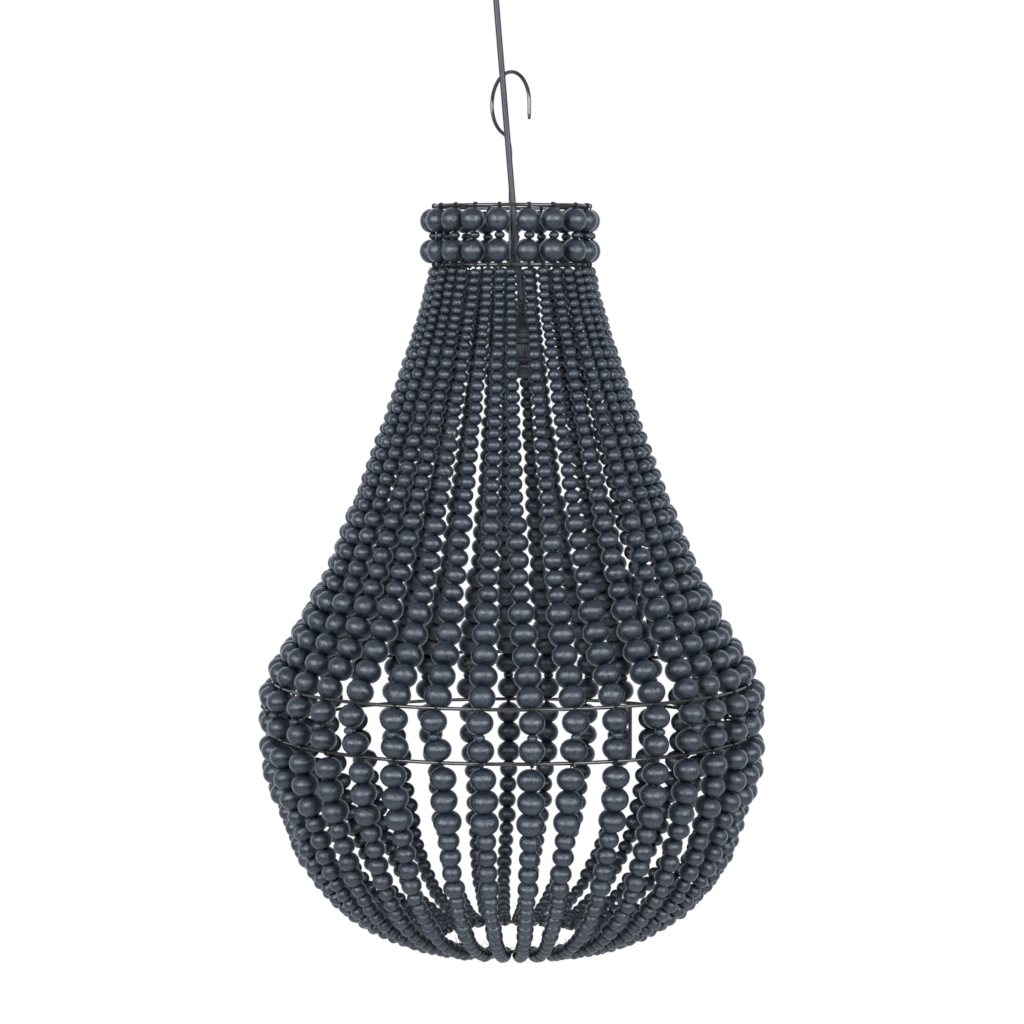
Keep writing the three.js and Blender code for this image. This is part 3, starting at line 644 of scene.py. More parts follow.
@dataclass(frozen=True)
class StringPart:
    """Upper or lower part of every bead string: its line, its beads and each string's strays.

    The line lies in a plane through the shade's axis and goes through points given as shares of its fall and of its
    reach, as the frame's own strings do. Strays and bows are sideways, in shares of the spacing between strings.
    """

    radii: tuple[float, float]
    levels: tuple[float, float]
    falls: tuple[float, ...]
    reaches: tuple[float, ...]
    runs: tuple[tuple[BeadKind, int, float], ...]
    first_strays: tuple[float, ...]
    last_strays: tuple[float, ...]
    bows: tuple[float, ...]
    start: float
    uneven_start: float = 0.0
    slide: float = 0.0
    squeezed: BeadKind | None = None
    closest: float = math.radians(9.2)
    squeezed_gap: float = 0.25
    end_gap: float = 1.2
    hand_shift: float = 0.35
    uneven_size: float = 0.025
    steps: int = 40

    @cached_property
    def table(self) -> tuple[np.ndarray, np.ndarray]:
        """Fine points on the line, and the length up to each.

        Returns:
            Pairs of radius and height, and the lengths.
        """
        (r0, r1), (z0, z1) = self.radii, self.levels
        knots = np.array([(r0 + (r1 - r0) * r, z0 + (z1 - z0) * f) for f, r in zip(self.falls, self.reaches)])
        ends = np.vstack([knots[:1], knots, knots[-1:]])
        made = [knots[0]]
        for i in range(len(knots) - 1):
            p0, p1, p2, p3 = ends[i : i + 4]
            v0, v1 = (p2 - p0) / 2, (p3 - p1) / 2
            for t in np.linspace(0, 1, self.steps + 1)[1:]:
                made.append(
                    (2 * p1 - 2 * p2 + v0 + v1) * t**3 + (-3 * p1 + 3 * p2 - 2 * v0 - v1) * t**2 + v0 * t + p1
                )
        points = np.array(made)
        lengths = np.linalg.norm(np.diff(points, axis=0), axis=1)
        return points, np.concatenate([[0], np.cumsum(lengths)])

    @property
    def length(self) -> float:
        """The line's whole length."""
        return self.table[1][-1]

    def azimuth(self, index: int, share: float) -> float:
        """Azimuth of a string at a share of the part.

        Args:
            index: the string's number, from 0.
            share: how far along the part, from 0 to 1.

        Returns:
            The azimuth.
        """
        first, last = self.first_strays[index], self.last_strays[index]
        bow = 4 * share * (1 - share) * self.bows[index]
        spacing = math.tau / LAYOUT.string_count
        return LAYOUT.string_turn + spacing * (index + first + (last - first) * share**2 + bow)

    def place(self, index: int, at: float) -> np.ndarray:
        """Point of a string at a length along the part.

        Args:
            index: the string's number, from 0.
            at: the length from the part's start.

        Returns:
            The point.
        """
        points, lengths = self.table
        at = min(max(at, 0.0), self.length)
        radius, z = (np.interp(at, lengths, column) for column in points.T)
        share = at / self.length
        point = LAYOUT.about(radius, self.azimuth(index, share), z)
        point[0] += self.slide * (1 - (1 - share) ** 2)
        return point

    def bead(self, shape: Shape, index: int, chance: random.Random) -> None:
        """Threads one string's beads.

        Args:
            shape: the string's piece.
            index: the string's number, from 0.
            chance: source of small differences.
        """
        points, lengths = self.table
        at = self.start + (chance.uniform(0, self.uneven_start) if self.uneven_start else 0.0)
        low_size, high_size = 1 - 2 * self.uneven_size, 1 + 2 * self.uneven_size
        beads = [
            (kind, pitch, min(max(chance.gauss(1, self.uneven_size), low_size), high_size))
            for kind, number, pitch in self.runs
            for _ in range(number)
        ]
        spread = (self.length - at - self.end_gap) / sum(pitch * size for _, pitch, size in beads)
        for kind, pitch, size in beads:
            step = pitch * size * spread
            low, high = self.place(index, at), self.place(index, at + step)
            shift = np.array([chance.gauss(0, self.hand_shift), chance.gauss(0, self.hand_shift), 0])
            if kind is self.squeezed:
                radius = np.interp(at + step / 2, lengths, points[:, 0])
                size = min(size, (radius * self.closest - self.squeezed_gap) / kind.width)
            kind.put(shape, (low + high) / 2 + shift, high - low, chance, size)
            at += step


COLLAR_STRAY = (
    (-0.35, -0.11, -0.07, 0, 0.06, 0, 0.08, 0, -0.03, 0.05, 0, 0.04)
    + (-0.04, 0.03, -0.1, -0.25, 0.2, 0.05, 0.04, -0.05, -0.02, 0.1, 0.05, -0.03)
    + (0.02, -0.05, 0.04, 0, -0.05, -0.12, -0.1, -0.03, -0.1, -0.04, 0, -0.17)
)
BOW_STRAY = (
    (0.04, 0.08, 0.05, 0.09, 0.33, 0.42, 0.42, 0.33, 0.2, 0.08, 0, 0)
    + (0, 0.12, 0, -0.08, -0.12, -0.12, 0, -0.12, -0.05, 0, -0.06, 0)
    + (0, 0, 0, -0.05, -0.12, -0.2, -0.08, 0.05, 0.06, -0.03, -0.08, 0.07)
)
BELLY_STRAY = (
    (0.14, 0.1, 0.07, 0.14, 0.2, 0.05, 0.1, 0.12, 0, -0.05, 0.06, -0.04)
    + (0.05, -0.04, -0.04, -0.18, -0.27, -0.22, -0.21, -0.19, -0.1, -0.17, -0.1, -0.1)
    + (-0.05, 0, -0.04, 0.02, -0.15, -0.3, -0.1, -0.15, -0.15, -0.02, -0.02, 0)
)
BASKET_STRAY = (
    (0.13, 0.02, 0.1, 0.1, 0.04, 0.03, 0.05, 0.12, 0, -0.05, 0.06, -0.04)
    + (0.05, -0.1, -0.04, -0.1, -0.22, -0.21, -0.21, -0.21, -0.11, -0.03, 0.09, 0.11)
    + (0, 0, -0.04, 0.02, -0.15, -0.12, -0.02, 0.02, 0.08, -0.06, 0.15, 0.05)
)
MOUTH_STRAY = (
    (-0.05, -0.14, -0.1, -0.1, -0.13, -0.13, -0.03, 0.15, 0.33, 0.48, 0.6, 0.6)
    + (0.6, 0.6, 0.6, 0.6, 0.55, 0.55, 0.48, 0.45, 0.42, 0.34, 0.26, 0.19)
    + (0.11, 0.03, -0.04, -0.12, -0.2, -0.22, -0.34, -0.35, -0.25, -0.1, 0, 0.02)
)
BASKET_BOW = (
    (-0.05, -0.12, -0.08, -0.05, 0, 0, 0, 0, 0, 0, 0, 0)
    + (0, 0, -0.1, -0.2, 0, 0, 0, -0.07, -0.12, -0.2, -0.28, -0.2)
    + (-0.12, 0, 0, 0, 0, 0, 0, 0, 0, 0, 0, 0)
)
BAND_LEAN = (
    (0, -0.004, 0.004, 0, -0.01, 0, 0, 0.005, -0.004, 0.006, 0, 0.004)
    + (-0.006, 0, 0.004, -0.004, 0.008, 0, -0.006, 0.004, 0, 0.008, -0.004, 0)
    + (0.006, 0, -0.004, 0.004, 0, -0.006, 0, 0.004, 0.02, 0.002, 0.017, 0.004)
)

LONG = StringPart(
    radii=(77.0, 238.0),
    levels=(LAYOUT.collar_z - 2.05, LAYOUT.collar_z - 413.0),
    falls=(0, 0.12, 0.3, 0.5, 0.68, 0.82, 0.93, 1),
    reaches=(0, 0.073, 0.218, 0.393, 0.567, 0.72, 0.88, 1),
    runs=((TINY, 10, 8.1), (SMALL, 8, 11.4), (MEDIUM, 6, 13.2), (LARGE, 5, 17.0), (GREAT, 5, 21.6)),
    first_strays=COLLAR_STRAY,
    last_strays=BELLY_STRAY,
    bows=BOW_STRAY,
    start=0.6,
    uneven_start=2.4,
)
BASKET = StringPart(
    radii=(76.05, 238.0),
    levels=(LAYOUT.lower_hoop_z, LAYOUT.mouth_z),
    falls=(0, 0.1, 0.25, 0.39, 0.53, 0.68, 0.8, 0.896, 0.966, 0.997, 0.998),
    reaches=(1, 1.021, 0.97, 0.91, 0.853, 0.756, 0.622, 0.47, 0.28, 0.134, 0),
    runs=((GREAT, 3, 21.6), (LARGE, 4, 17.0), (MEDIUM, 5, 13.2), (SMALL, 8, 11.75)),
    first_strays=BASKET_STRAY,
    last_strays=MOUTH_STRAY,
    bows=BASKET_BOW,
    start=4.2,
    slide=LAYOUT.mouth_shift,
    squeezed=SMALL,
)


# The sub-assemblies


@dataclass
class Ties:
    """Thread wound and knotted round the hoops, and cut ends of it, gathered in one piece."""

    shape: Shape = field(default_factory=Shape)
    wrap_turns: float = 2.2
    wrap_steps: int = 22
    wrap_width: float = 3.2
    wrap_lean: float = 0.5
    lump_reach: float = 0.8
    lump_profile: tuple[tuple[float, float], ...] = ((0.01, -1.2), (1.1, -0.7), (1.5, 0), (1.1, 0.7), (0.01, 1.2))
    fibres: int = 3
    fibre_length: float = 14.0
    fibre_radii: tuple[float, float] = (0.28, 0.12)
    fibre_droop: float = 0.02

    def thread(self, path: list[np.ndarray]) -> None:
        """Draws a thread along a path."""
        self.shape.add(*swept(np.array(path), LAYOUT.thread_radius, LAYOUT.thread_sides))

    def knot(self, radius: float, azimuth: float, z: float, chance: random.Random) -> None:
        """Winds the thread round a hoop's wire and adds the knot beside it.

        Args:
            radius: the hoop's radius.
            azimuth: where on the hoop.
            z: the hoop's level.
            chance: source of small differences.
        """
        out, side = heading(azimuth), heading(azimuth + math.pi / 2)
        centre = LAYOUT.about(radius, azimuth, z)
        centre[0] += LAYOUT.mouth_shift if z == LAYOUT.mouth_z else 0.0
        start, lean = chance.uniform(0, ANY_ANGLE), chance.uniform(-self.wrap_lean, self.wrap_lean)
        reach = LAYOUT.wire_radius + LAYOUT.thread_radius * 0.9
        path = []
        for t in np.linspace(0, self.wrap_turns, self.wrap_steps):
            angle = start + t * math.tau
            shift = (t / self.wrap_turns - 0.5) * self.wrap_width + lean
            path.append(centre + side * shift + (out * math.cos(angle) - DOWN * math.sin(angle)) * reach)
        self.thread(path)
        lump = centre + side * (lean + 0.6) + DOWN * (LAYOUT.wire_radius + 0.7)
        lump = lump + out * chance.uniform(-self.lump_reach, self.lump_reach)
        ball, faces = turned(list(self.lump_profile), 8, closed=False)
        self.shape.add(ball * chance.uniform(0.8, 1.15) + lump, faces)

    def loose_end(self, azimuth: float, chance: random.Random) -> None:
        """Lets a few fibres of a cut thread stand out at the mouth ring.

        Args:
            azimuth: where on the ring.
            chance: source of small differences.
        """
        start = LAYOUT.about(LAYOUT.mouth_radius, azimuth, LAYOUT.mouth_z)
        start[0] += LAYOUT.mouth_shift
        steps = np.linspace(0, self.fibre_length, 7)
        for _ in range(self.fibres):
            drift = -heading(azimuth) * chance.uniform(0.1, 0.8) + heading(azimuth + BESIDE) * chance.uniform(-1, 1)
            rising = drift - DOWN * chance.uniform(0.1, 0.9)
            path = np.array([start + rising * s + DOWN * self.fibre_droop * s * s for s in steps])
            self.shape.add(*swept(path, np.linspace(*self.fibre_radii, len(steps)), 4))


@dataclass
class Strings:
    """The long bead strings with their threads, from the collar past both hoops to the mouth ring."""

    band_radius: float = 240.0
    band_rise: float = 13.0
    band_tilt: float = -0.12
    spacer_push: float = 5.5
    inset: float = 2.8
    hoop_step: float = 4.8
    frayed: tuple[int, ...] = (33, 35)

    def band(self, shape: Shape, spacers: Shape, index: int, chance: random.Random) -> None:
        """Threads the two great beads and the spacer between the hoops.

        Args:
            shape: the string's piece.
            spacers: the piece of all the spacers.
            index: the string's number, from 0.
            chance: source of small differences.
        """
        azimuth = LONG.azimuth(index, 1.0)
        middle = (LAYOUT.upper_hoop_z + LAYOUT.lower_hoop_z) / 2
        for sign in (1, -1):
            turn = azimuth + chance.gauss(0, 0.001) - sign * BAND_LEAN[index] / 2
            centre = LAYOUT.about(self.band_radius + chance.gauss(0, 0.4), turn, middle + sign * self.band_rise)
            GREAT.put(shape, centre, heading(turn) * self.band_tilt * sign + DOWN, chance)
        centre = LAYOUT.about(self.band_radius + self.spacer_push + chance.gauss(0, 0.3), azimuth, middle - 0.3)
        SPACER.put(spacers, centre, DOWN, chance, chance.uniform(0.96, 1.04))

    def lower_tie(self, index: int) -> float:
        """Azimuth of a string's tie on the lower hoop, halfway between the beads above and below."""
        return (LONG.azimuth(index, 1.0) + BASKET.azimuth(index, 0.0)) / 2

    def thread(self, index: int) -> list[np.ndarray]:
        """Line of one string's thread, which passes inside both hoops.

        Args:
            index: the string's number, from 0.

        Returns:
            Its points.
        """
        azimuth, lean = LONG.azimuth(index, 1.0), BAND_LEAN[index] / 2
        inside = LAYOUT.belly_radius - self.inset
        middle = (LAYOUT.upper_hoop_z + LAYOUT.lower_hoop_z) / 2
        path = [LONG.place(index, at) for at in np.linspace(-0.5, LONG.length - 4.5, 90)]
        path += [
            LAYOUT.about(inside, azimuth, LAYOUT.upper_hoop_z),
            LAYOUT.about(self.band_radius, azimuth - lean, LAYOUT.upper_hoop_z - self.hoop_step),
            LAYOUT.about(self.band_radius + self.spacer_push, azimuth, middle),
            LAYOUT.about(self.band_radius, azimuth + lean, LAYOUT.lower_hoop_z + self.hoop_step),
            LAYOUT.about(inside, self.lower_tie(index), LAYOUT.lower_hoop_z),
        ]
        return path + [BASKET.place(index, at) for at in np.linspace(4.0, BASKET.length + 0.5, 60)]

    def build(self) -> None:
        """Builds all the strings, their threads and their knots."""
        spacers, threads, knots = Shape(), Ties(), Ties()
        for index in range(LAYOUT.string_count):
            chance = random.Random(SEED + index)
            shape = Shape()
            LONG.bead(shape, index, chance)
            self.band(shape, spacers, index, chance)
            BASKET.bead(shape, index, chance)
            shape.piece(f"beads_{index + 1:02d}", BEADS, Body.PENDANT, (f"bead_string_{index + 1:02d}",))
            threads.thread(self.thread(index))
            mouth = BASKET.azimuth(index, 1)
            for radius, azimuth, z in (
                (LAYOUT.collar_radius, LONG.azimuth(index, 0), LAYOUT.collar_z),
                (LAYOUT.belly_radius, LONG.azimuth(index, 1), LAYOUT.upper_hoop_z),
                (LAYOUT.belly_radius, self.lower_tie(index), LAYOUT.lower_hoop_z),
                (LAYOUT.mouth_radius, mouth, LAYOUT.mouth_z),
            ):
                knots.knot(radius, azimuth, z, chance)
            if index % 3 == 1 or index in self.frayed:
                knots.loose_end(mouth, chance)
        spacers.piece("band_spacers", SPACERS, Body.PENDANT)
        threads.shape.piece("string_threads", TWINE, Body.PENDANT)
        knots.shape.piece("string_knots", TWINE, Body.PENDANT)


@dataclass
class Collar:
    """Beaded collar: two rings, four uprights and the short strings between."""

    strings: int = 18
    turn: float = math.radians(10.0)
    string_radius: float = 78.0
    strays: tuple[float, ...] = (
        (0.12, 0.07, 0.18, 0.12, 0.125, 0.15, 0.25, 0.365, 0.39)
        + (0.42, 0.325, 0.325, 0.25, 0.225, 0.275, 0.23, 0.12, 0.06)
    )
    bead_levels: tuple[float, float] = (13.6, 43.6)
    spacer_level: float = 28.6
    upright_turns_deg: tuple[float, ...] = (82.4, 124.0, 226.4, 285.0)
    upright_radius: float = 1.2
    upright_top_gap: float = 2.0
    lean: float = 2.0

    def beads(self) -> None:
        """Threads the short strings and ties them to both rings."""
        beads, ties = Shape(), Ties()
        base, height = LAYOUT.collar_z, LAYOUT.collar_height
        for index in range(self.strings):
            chance = random.Random(SEED * 3 + index)
            azimuth = self.turn + (index + self.strays[index]) * math.tau / self.strings
            radius = self.string_radius + chance.gauss(0, 0.3)
            for z in self.bead_levels:
                centre = LAYOUT.about(radius, azimuth + chance.gauss(0, 0.004), base + z + chance.gauss(0, 0.25))
                centre[0] -= self.lean
                COLLAR_BEAD.put(beads, centre, DOWN, chance)
            SPACER.put(beads, LAYOUT.about(radius, azimuth, base + self.spacer_level), DOWN, chance)
            ties.thread([LAYOUT.about(radius, azimuth, base + z) for z in (1.5, 20, 40, height - 1.0)])
            for z in (base + height, base):
                ties.knot(LAYOUT.collar_radius, azimuth, z, chance)
        beads.piece("collar_beads", BEADS, Body.PENDANT, ("collar_top_ring",))
        ties.shape.piece("collar_knots", TWINE, Body.PENDANT)

    def wires(self) -> None:
        """Bends the two rings and welds the uprights to the lower one."""
        radius, low, high = LAYOUT.collar_radius, LAYOUT.collar_z, LAYOUT.collar_z + LAYOUT.collar_height
        Shape.of(hoop_wire(radius, high, 1, 96)).piece("collar_top_wire", WIRE, Body.PENDANT)
        parts = [hoop_wire(radius, low, 2, 96)]
        for azimuth in map(math.radians, self.upright_turns_deg):
            foot, head = (LAYOUT.about(radius, azimuth, z) for z in (low, high - self.upright_top_gap))
            parts.append(swept(np.array([foot, (foot + head) / 2, head]), self.upright_radius, 8))
        Shape.of(*parts).piece("collar_lower_wire", WIRE, Body.PENDANT, ("collar_lower_ring",))

    def build(self) -> None:
        """Builds the collar."""
        self.beads()
        self.wires()


def hoop_wire(radius: float, z: float, seed: int, steps: int) -> Part:
    """A hand-bent hoop of round wire: true to a third of a millimetre.

    Args:
        radius: its radius.
        z: its level.
        seed: what sets its small waves.
        steps: how many facets go round.

    Returns:
        Points and faces.
    """
    chance = random.Random(seed)
    phases = [chance.uniform(0, ANY_ANGLE) for _ in range(4)]
    path = []
    for a in np.linspace(0, math.tau, steps, endpoint=False):
        wave = 0.12 * math.sin(3 * a + phases[0]) + 0.1 * math.sin(5 * a + phases[1])
        rise = 0.14 * math.sin(2 * a + phases[2]) + 0.1 * math.sin(7 * a + phases[3])
        path.append(LAYOUT.about(radius + wave, a, z + rise))
    return swept(np.array(path), LAYOUT.wire_radius, 12, closed=True)


@dataclass
class Cage:
    """Wire hoops below: the belly's two with their struts, and the mouth ring."""

    strut_turn: float = math.radians(27.6)
    strut_count: int = 4
    strut_gap: float = 2.05

    def build(self) -> None:
        """Bends the hoops and welds the struts to the upper one."""
        radius, high, low = LAYOUT.belly_radius, LAYOUT.upper_hoop_z, LAYOUT.lower_hoop_z
        parts = [hoop_wire(radius, high, 3, 200)]
        for index in range(self.strut_count):
            azimuth = self.strut_turn + index * math.tau / self.strut_count
            head, foot = (LAYOUT.about(radius, azimuth, z) for z in (high, low + self.strut_gap))
            parts.append(swept(np.array([head, (foot + head) / 2, foot]), LAYOUT.wire_radius, 10))
        points, faces = hoop_wire(LAYOUT.mouth_radius, LAYOUT.mouth_z, 5, 96)
        mouth = (points + np.array([LAYOUT.mouth_shift, 0, 0]), faces)
        Shape.of(*parts).piece("belly_upper_wire", WIRE, Body.PENDANT, ("upper_hoop",))
        Shape.of(hoop_wire(radius, low, 4, 200)).piece("belly_lower_wire", WIRE, Body.PENDANT, ("lower_hoop",))
        Shape.of(mouth).piece("mouth_wire", WIRE, Body.PENDANT, ("mouth_ring",))


@dataclass
class Cord:
    """Sheathed cord, pulled taut from its bush in the ceiling cup down to the holder's grip."""

    stations: int = 24
    end_gap: float = 0.55
    bush_radius: float = 9.5
    bush_bore: Profile = field(
        default_factory=lambda: [(6.0, 6.2), (4.6, 3.6), (3.7, 1.2), (3.5, 0), (3.7, -1.2), (4.6, -3.6), (6.0, -6.2)]
    )

    def bush(self) -> bpy.types.Object:
        """Turns the rounded bush that the cord hangs through.

        Returns:
            The bush.
        """
        ball = [(self.bush_radius * math.cos(a), self.bush_radius * math.sin(a)) for a in np.linspace(-0.7, 0.7, 14)]
        points, faces = turned(ball + self.bush_bore)
        shape = Shape.of((points + np.array([0, 0, LAYOUT.pivot_z]), faces))
        return shape.piece("bush_ball", PHENOLIC, Body.BUSH, ("cord_bush",), weld=True)

    def build(self) -> None:
        lean = LAYOUT.cord_lean
        down = np.array([math.sin(lean), 0.0, -math.cos(lean)])
        pivot = np.array([0.0, 0.0, LAYOUT.pivot_z])
        length = (LAYOUT.cord_drop - self.end_gap) / math.cos(lean)
        path = np.array([pivot + down * s for s in np.linspace(-LAYOUT.cord_tail, length, self.stations)])
        shape = Shape.of(swept(path, LAYOUT.cord_radius, 20))
        cord = shape.piece("cord", SHEATH, Body.PENDANT, ("pendant_cord",))
        self.bush()


def threaded(
    radius: float, wall: float, top: float, end: float, pitch: float, depth: float, steps: int = 72
) -> Part:
    """Sleeve with a rolled screw thread on both faces.

    Args:
        radius: its outer radius.
        wall: its wall.
        top: its upper level.
        end: its lower level.
        pitch: the thread's rise in one turn.
        depth: the thread's depth.
        steps: how many facets go round.

    Returns:
        Points and faces.
    """
    levels = np.linspace(top, end, max(8, int((top - end) / pitch * 8)))
    angle = np.linspace(0, math.tau, steps, endpoint=False)
    wave = np.sin(math.tau * levels[:, None] / pitch - angle[None, :]) * depth / 2
    rows = []
    for base, order in ((radius - depth / 2, 1), (radius - wall - depth / 2, -1)):
        reach = (base + wave)[::order]
        height = np.repeat(levels[::order][:, None], steps, axis=1)
        rows.append(np.stack([reach * np.cos(angle), reach * np.sin(angle), height], axis=2))
    points = np.concatenate(rows)
    return points.reshape(-1, 3), grid_faces(len(points), steps, True)


def ribbed(profile: Profile, count: int, depth: float, steps: int, band: float = 0.35) -> Part:
    """A turned part whose widest rows carry grip ribs.

    Args:
        profile: closed pairs of radius and height.
        count: how many ribs go round.
        depth: how deep the grooves between them are.
        steps: how many facets go round.
        band: rows this near the widest are ribbed.

    Returns:
        Points and faces.
    """
    points, faces = turned(profile, steps)
    reach = np.hypot(points[:, 0], points[:, 1])
    angle = np.arctan2(points[:, 1], points[:, 0])
    widest = max(r for r, _ in profile)
    cut = np.where(reach > widest - band, depth * (0.5 + 0.5 * np.cos(angle * count)) ** 2, 0)
    points[:, :2] *= ((reach - cut) / np.maximum(reach, 1e-9))[:, None]
    return points, faces


@dataclass
class LampHolder:
    """Lamp holder for a screw cap, with its grip, cap, body, clamping ring and contacts.

    It is drawn about its own axis, with heights counted from the grip's top.
    """

    grip_radius: float = 6.9
    cap_radius: float = 19.5
    sleeve_radius: float = 18.9
    flange_radius: float = 21.8
    skirt_radius: float = 20.6
    ring_radius: float = 23.4
    shell_radius: float = 14.2
    tongue_half: float = 2.9
    tongue_drop: float = 1.3

    def add(self, name: str, finish: Finish, node: str, *parts: Part) -> None:
        """Sets parts in their place and makes one piece of them.

        Args:
            name: the piece's name.
            finish: its finish.
            node: the frame's node that it stands for.
            parts: points and faces of each part.
        """
        base = np.array([LAYOUT.shade_x + LAYOUT.holder_shift, 0, LAYOUT.grip_z])
        shape = Shape.of(*((points + base, faces) for points, faces in parts))
        shape.piece(name, finish, Body.PENDANT, (node,), weld=True)

    def shells(self) -> None:
        """Turns the grip, the cap, the body and the clamping ring."""
        r, c, f = self.grip_radius, self.cap_radius, self.flange_radius
        sleeve, s, g = self.sleeve_radius, self.skirt_radius, self.ring_radius
        grip = [(3.05, -0.2), (r - 1.2, -0.1), (r, -1.3), (r, -5.4), (r - 0.4, -5.8), (r - 0.4, -7.0), (3.05, -7.0)]
        cap = [
            (3.6, -7.3), (r, -7.3), (7.4, -8.2), (8.4, -12.6), (10.2, -15.6), (12.9, -18.6), (15.6, -21.6),
            (17.6, -25.0), (18.9, -29.0), (19.3, -30.2), (19.3, -31.4), (18.9, -31.8), (18.9, -32.4), (c, -32.8),
            (c, -37.2), (17.2, -37.2), (16.4, -28.6), (12.6, -20.8), (7.2, -13.4), (3.6, -9.5),
        ]
        body = [
            (c, -37.7), (c, -42.4), (sleeve, -42.7), (sleeve, -64.2), (f, -64.4), (f, -67.2), (s, -67.5), (s, -76.6),
            (s - 0.6, -77.2), (17.2, -77.2), (17.0, -62.0), (17.0, -47.6), (15.7, -47.6), (15.7, -46.2),
            (17.0, -46.2), (17.0, -37.7),
        ]
        ring = [
            (19.35, -42.9), (22.6, -42.9), (g, -43.7), (g, -56.2), (22.9, -56.6), (21.2, -56.8), (21.2, -60.3),
            (19.35, -60.5),
        ]
        thread = threaded(sleeve + 0.15, 0.6, -60.8, -64.0, 1.6, 0.3)
        self.add("cord_grip_nut", PHENOLIC, "cord_grip", ribbed(eased(grip, 0.5), 18, 0.35, 144))
        self.add("holder_bell", PHENOLIC, "holder_cap", turned(eased(cap, 0.35), 64))
        self.add("holder_skirt", PHENOLIC, "holder_body", turned(eased(body, 0.35), 64), thread)
        self.add("holder_ring", PHENOLIC, "shade_ring", ribbed(eased(ring, 0.3), 40, 0.5, 240))

    def contacts(self) -> None:
        """Makes the insulator, the centre contact and the screw shell."""
        block = [
            (0, -37.9), (16.4, -37.9), (16.7, -38.3), (16.7, -45.5), (16.3, -45.9), (6.0, -45.9), (5.4, -44.6),
            (0, -44.6),
        ]
        tongue = [
            (-4.0, -45.0), (-1.0, -45.0), (0.6, -45.4), (3.9, -48.9), (3.6, -49.2), (0.4, -46.2), (-1.2, -45.7),
            (-4.0, -45.7),
        ]
        half, n = self.tongue_half, len(tongue)
        points = np.array([(x, y, z) for y in (-half, half) for x, z in tongue], float)
        faces = [tuple(range(n)), tuple(range(2 * n - 1, n - 1, -1))]
        faces += [(i, i + n, (i + 1) % n + n, (i + 1) % n) for i in range(n)]
        shell = threaded(self.shell_radius, 0.7, -46.2, -65.7, 3.6, 1.0, 96)
        self.add("contact_insulator", STEATITE, "contact_block", turned(eased(block, 0.3), 48))
        self.add("contact_tongue", BRASS, "centre_contact", (points + DOWN * self.tongue_drop, faces))
        self.add("screw_sleeve", BRASS, "screw_shell", shell)

    def build(self) -> None:
        """Builds the holder."""
        self.shells()
        self.contacts()


@dataclass
class Carrier:
    """Wire carrier: a ring clamped on the holder and four arms up to the collar."""

    ring_radius: float = 21.0
    ring_drop: float = 62.5
    wire: float = 1.5
    turn: float = math.radians(15.0)
    arms: int = 4
    corner_radius: float = 16.0
    inset: float = 8.05
    knee_radius: float = 70.2
    foot_radius: float = 74.5

    def beside(self, azimuth: float, z: float) -> np.ndarray:
        """A point just inside the strings.

        Args:
            azimuth: where about the shade's axis.
            z: the level.

        Returns:
            The point.
        """
        points, _ = LONG.table
        radius = np.interp(-z, -points[:, 1], points[:, 0])
        return LAYOUT.about(radius - self.inset - self.wire, azimuth, z)

    def arm(self, azimuth: float, centre: np.ndarray) -> Part:
        """Bends one arm, out from the ring, up beside the strings and over to the collar.

        Args:
            azimuth: where it rises.
            centre: the ring's centre.

        Returns:
            Points and faces.
        """
        level = centre[2]
        corner = self.beside(azimuth, level + self.corner_radius)
        flat = np.array([corner[0], corner[1], level])
        out = (flat - centre) / np.linalg.norm(flat - centre)
        bend = flat - out * self.corner_radius
        foot = LAYOUT.about(self.foot_radius, azimuth, LAYOUT.collar_z)
        knee = LAYOUT.about(self.knee_radius, azimuth, LAYOUT.collar_z)
        path = list(bezier([centre + out * self.ring_radius, bend, bend, bend], 3)[:2])
        path += list(bezier([bend, flat - out * 4, flat - DOWN * 4, corner], 8))
        path += [self.beside(azimuth, z) for z in np.linspace(corner[2], LAYOUT.collar_z - 7, 10)]
        path += list(bezier([path[-1], path[-1] - DOWN * 6, knee, foot], 5)[1:])
        return swept(np.array([*path, foot]), self.wire, 10)

    def build(self) -> None:
        """Bends the ring and the arms."""
        centre = np.array([LAYOUT.shade_x + LAYOUT.holder_shift, 0, LAYOUT.grip_z - self.ring_drop])
        angles = np.linspace(0, math.tau, 72, endpoint=False)
        ring = np.array([centre + np.array([math.cos(a), math.sin(a), 0]) * self.ring_radius for a in angles])
        turns = [self.turn + index * math.tau / self.arms for index in range(self.arms)]
        parts = [swept(ring, self.wire, 10, closed=True), *(self.arm(azimuth, centre) for azimuth in turns)]
        Shape.of(*parts).piece("holder_carrier_wire", WIRE, Body.PENDANT, ("holder_carrier",))


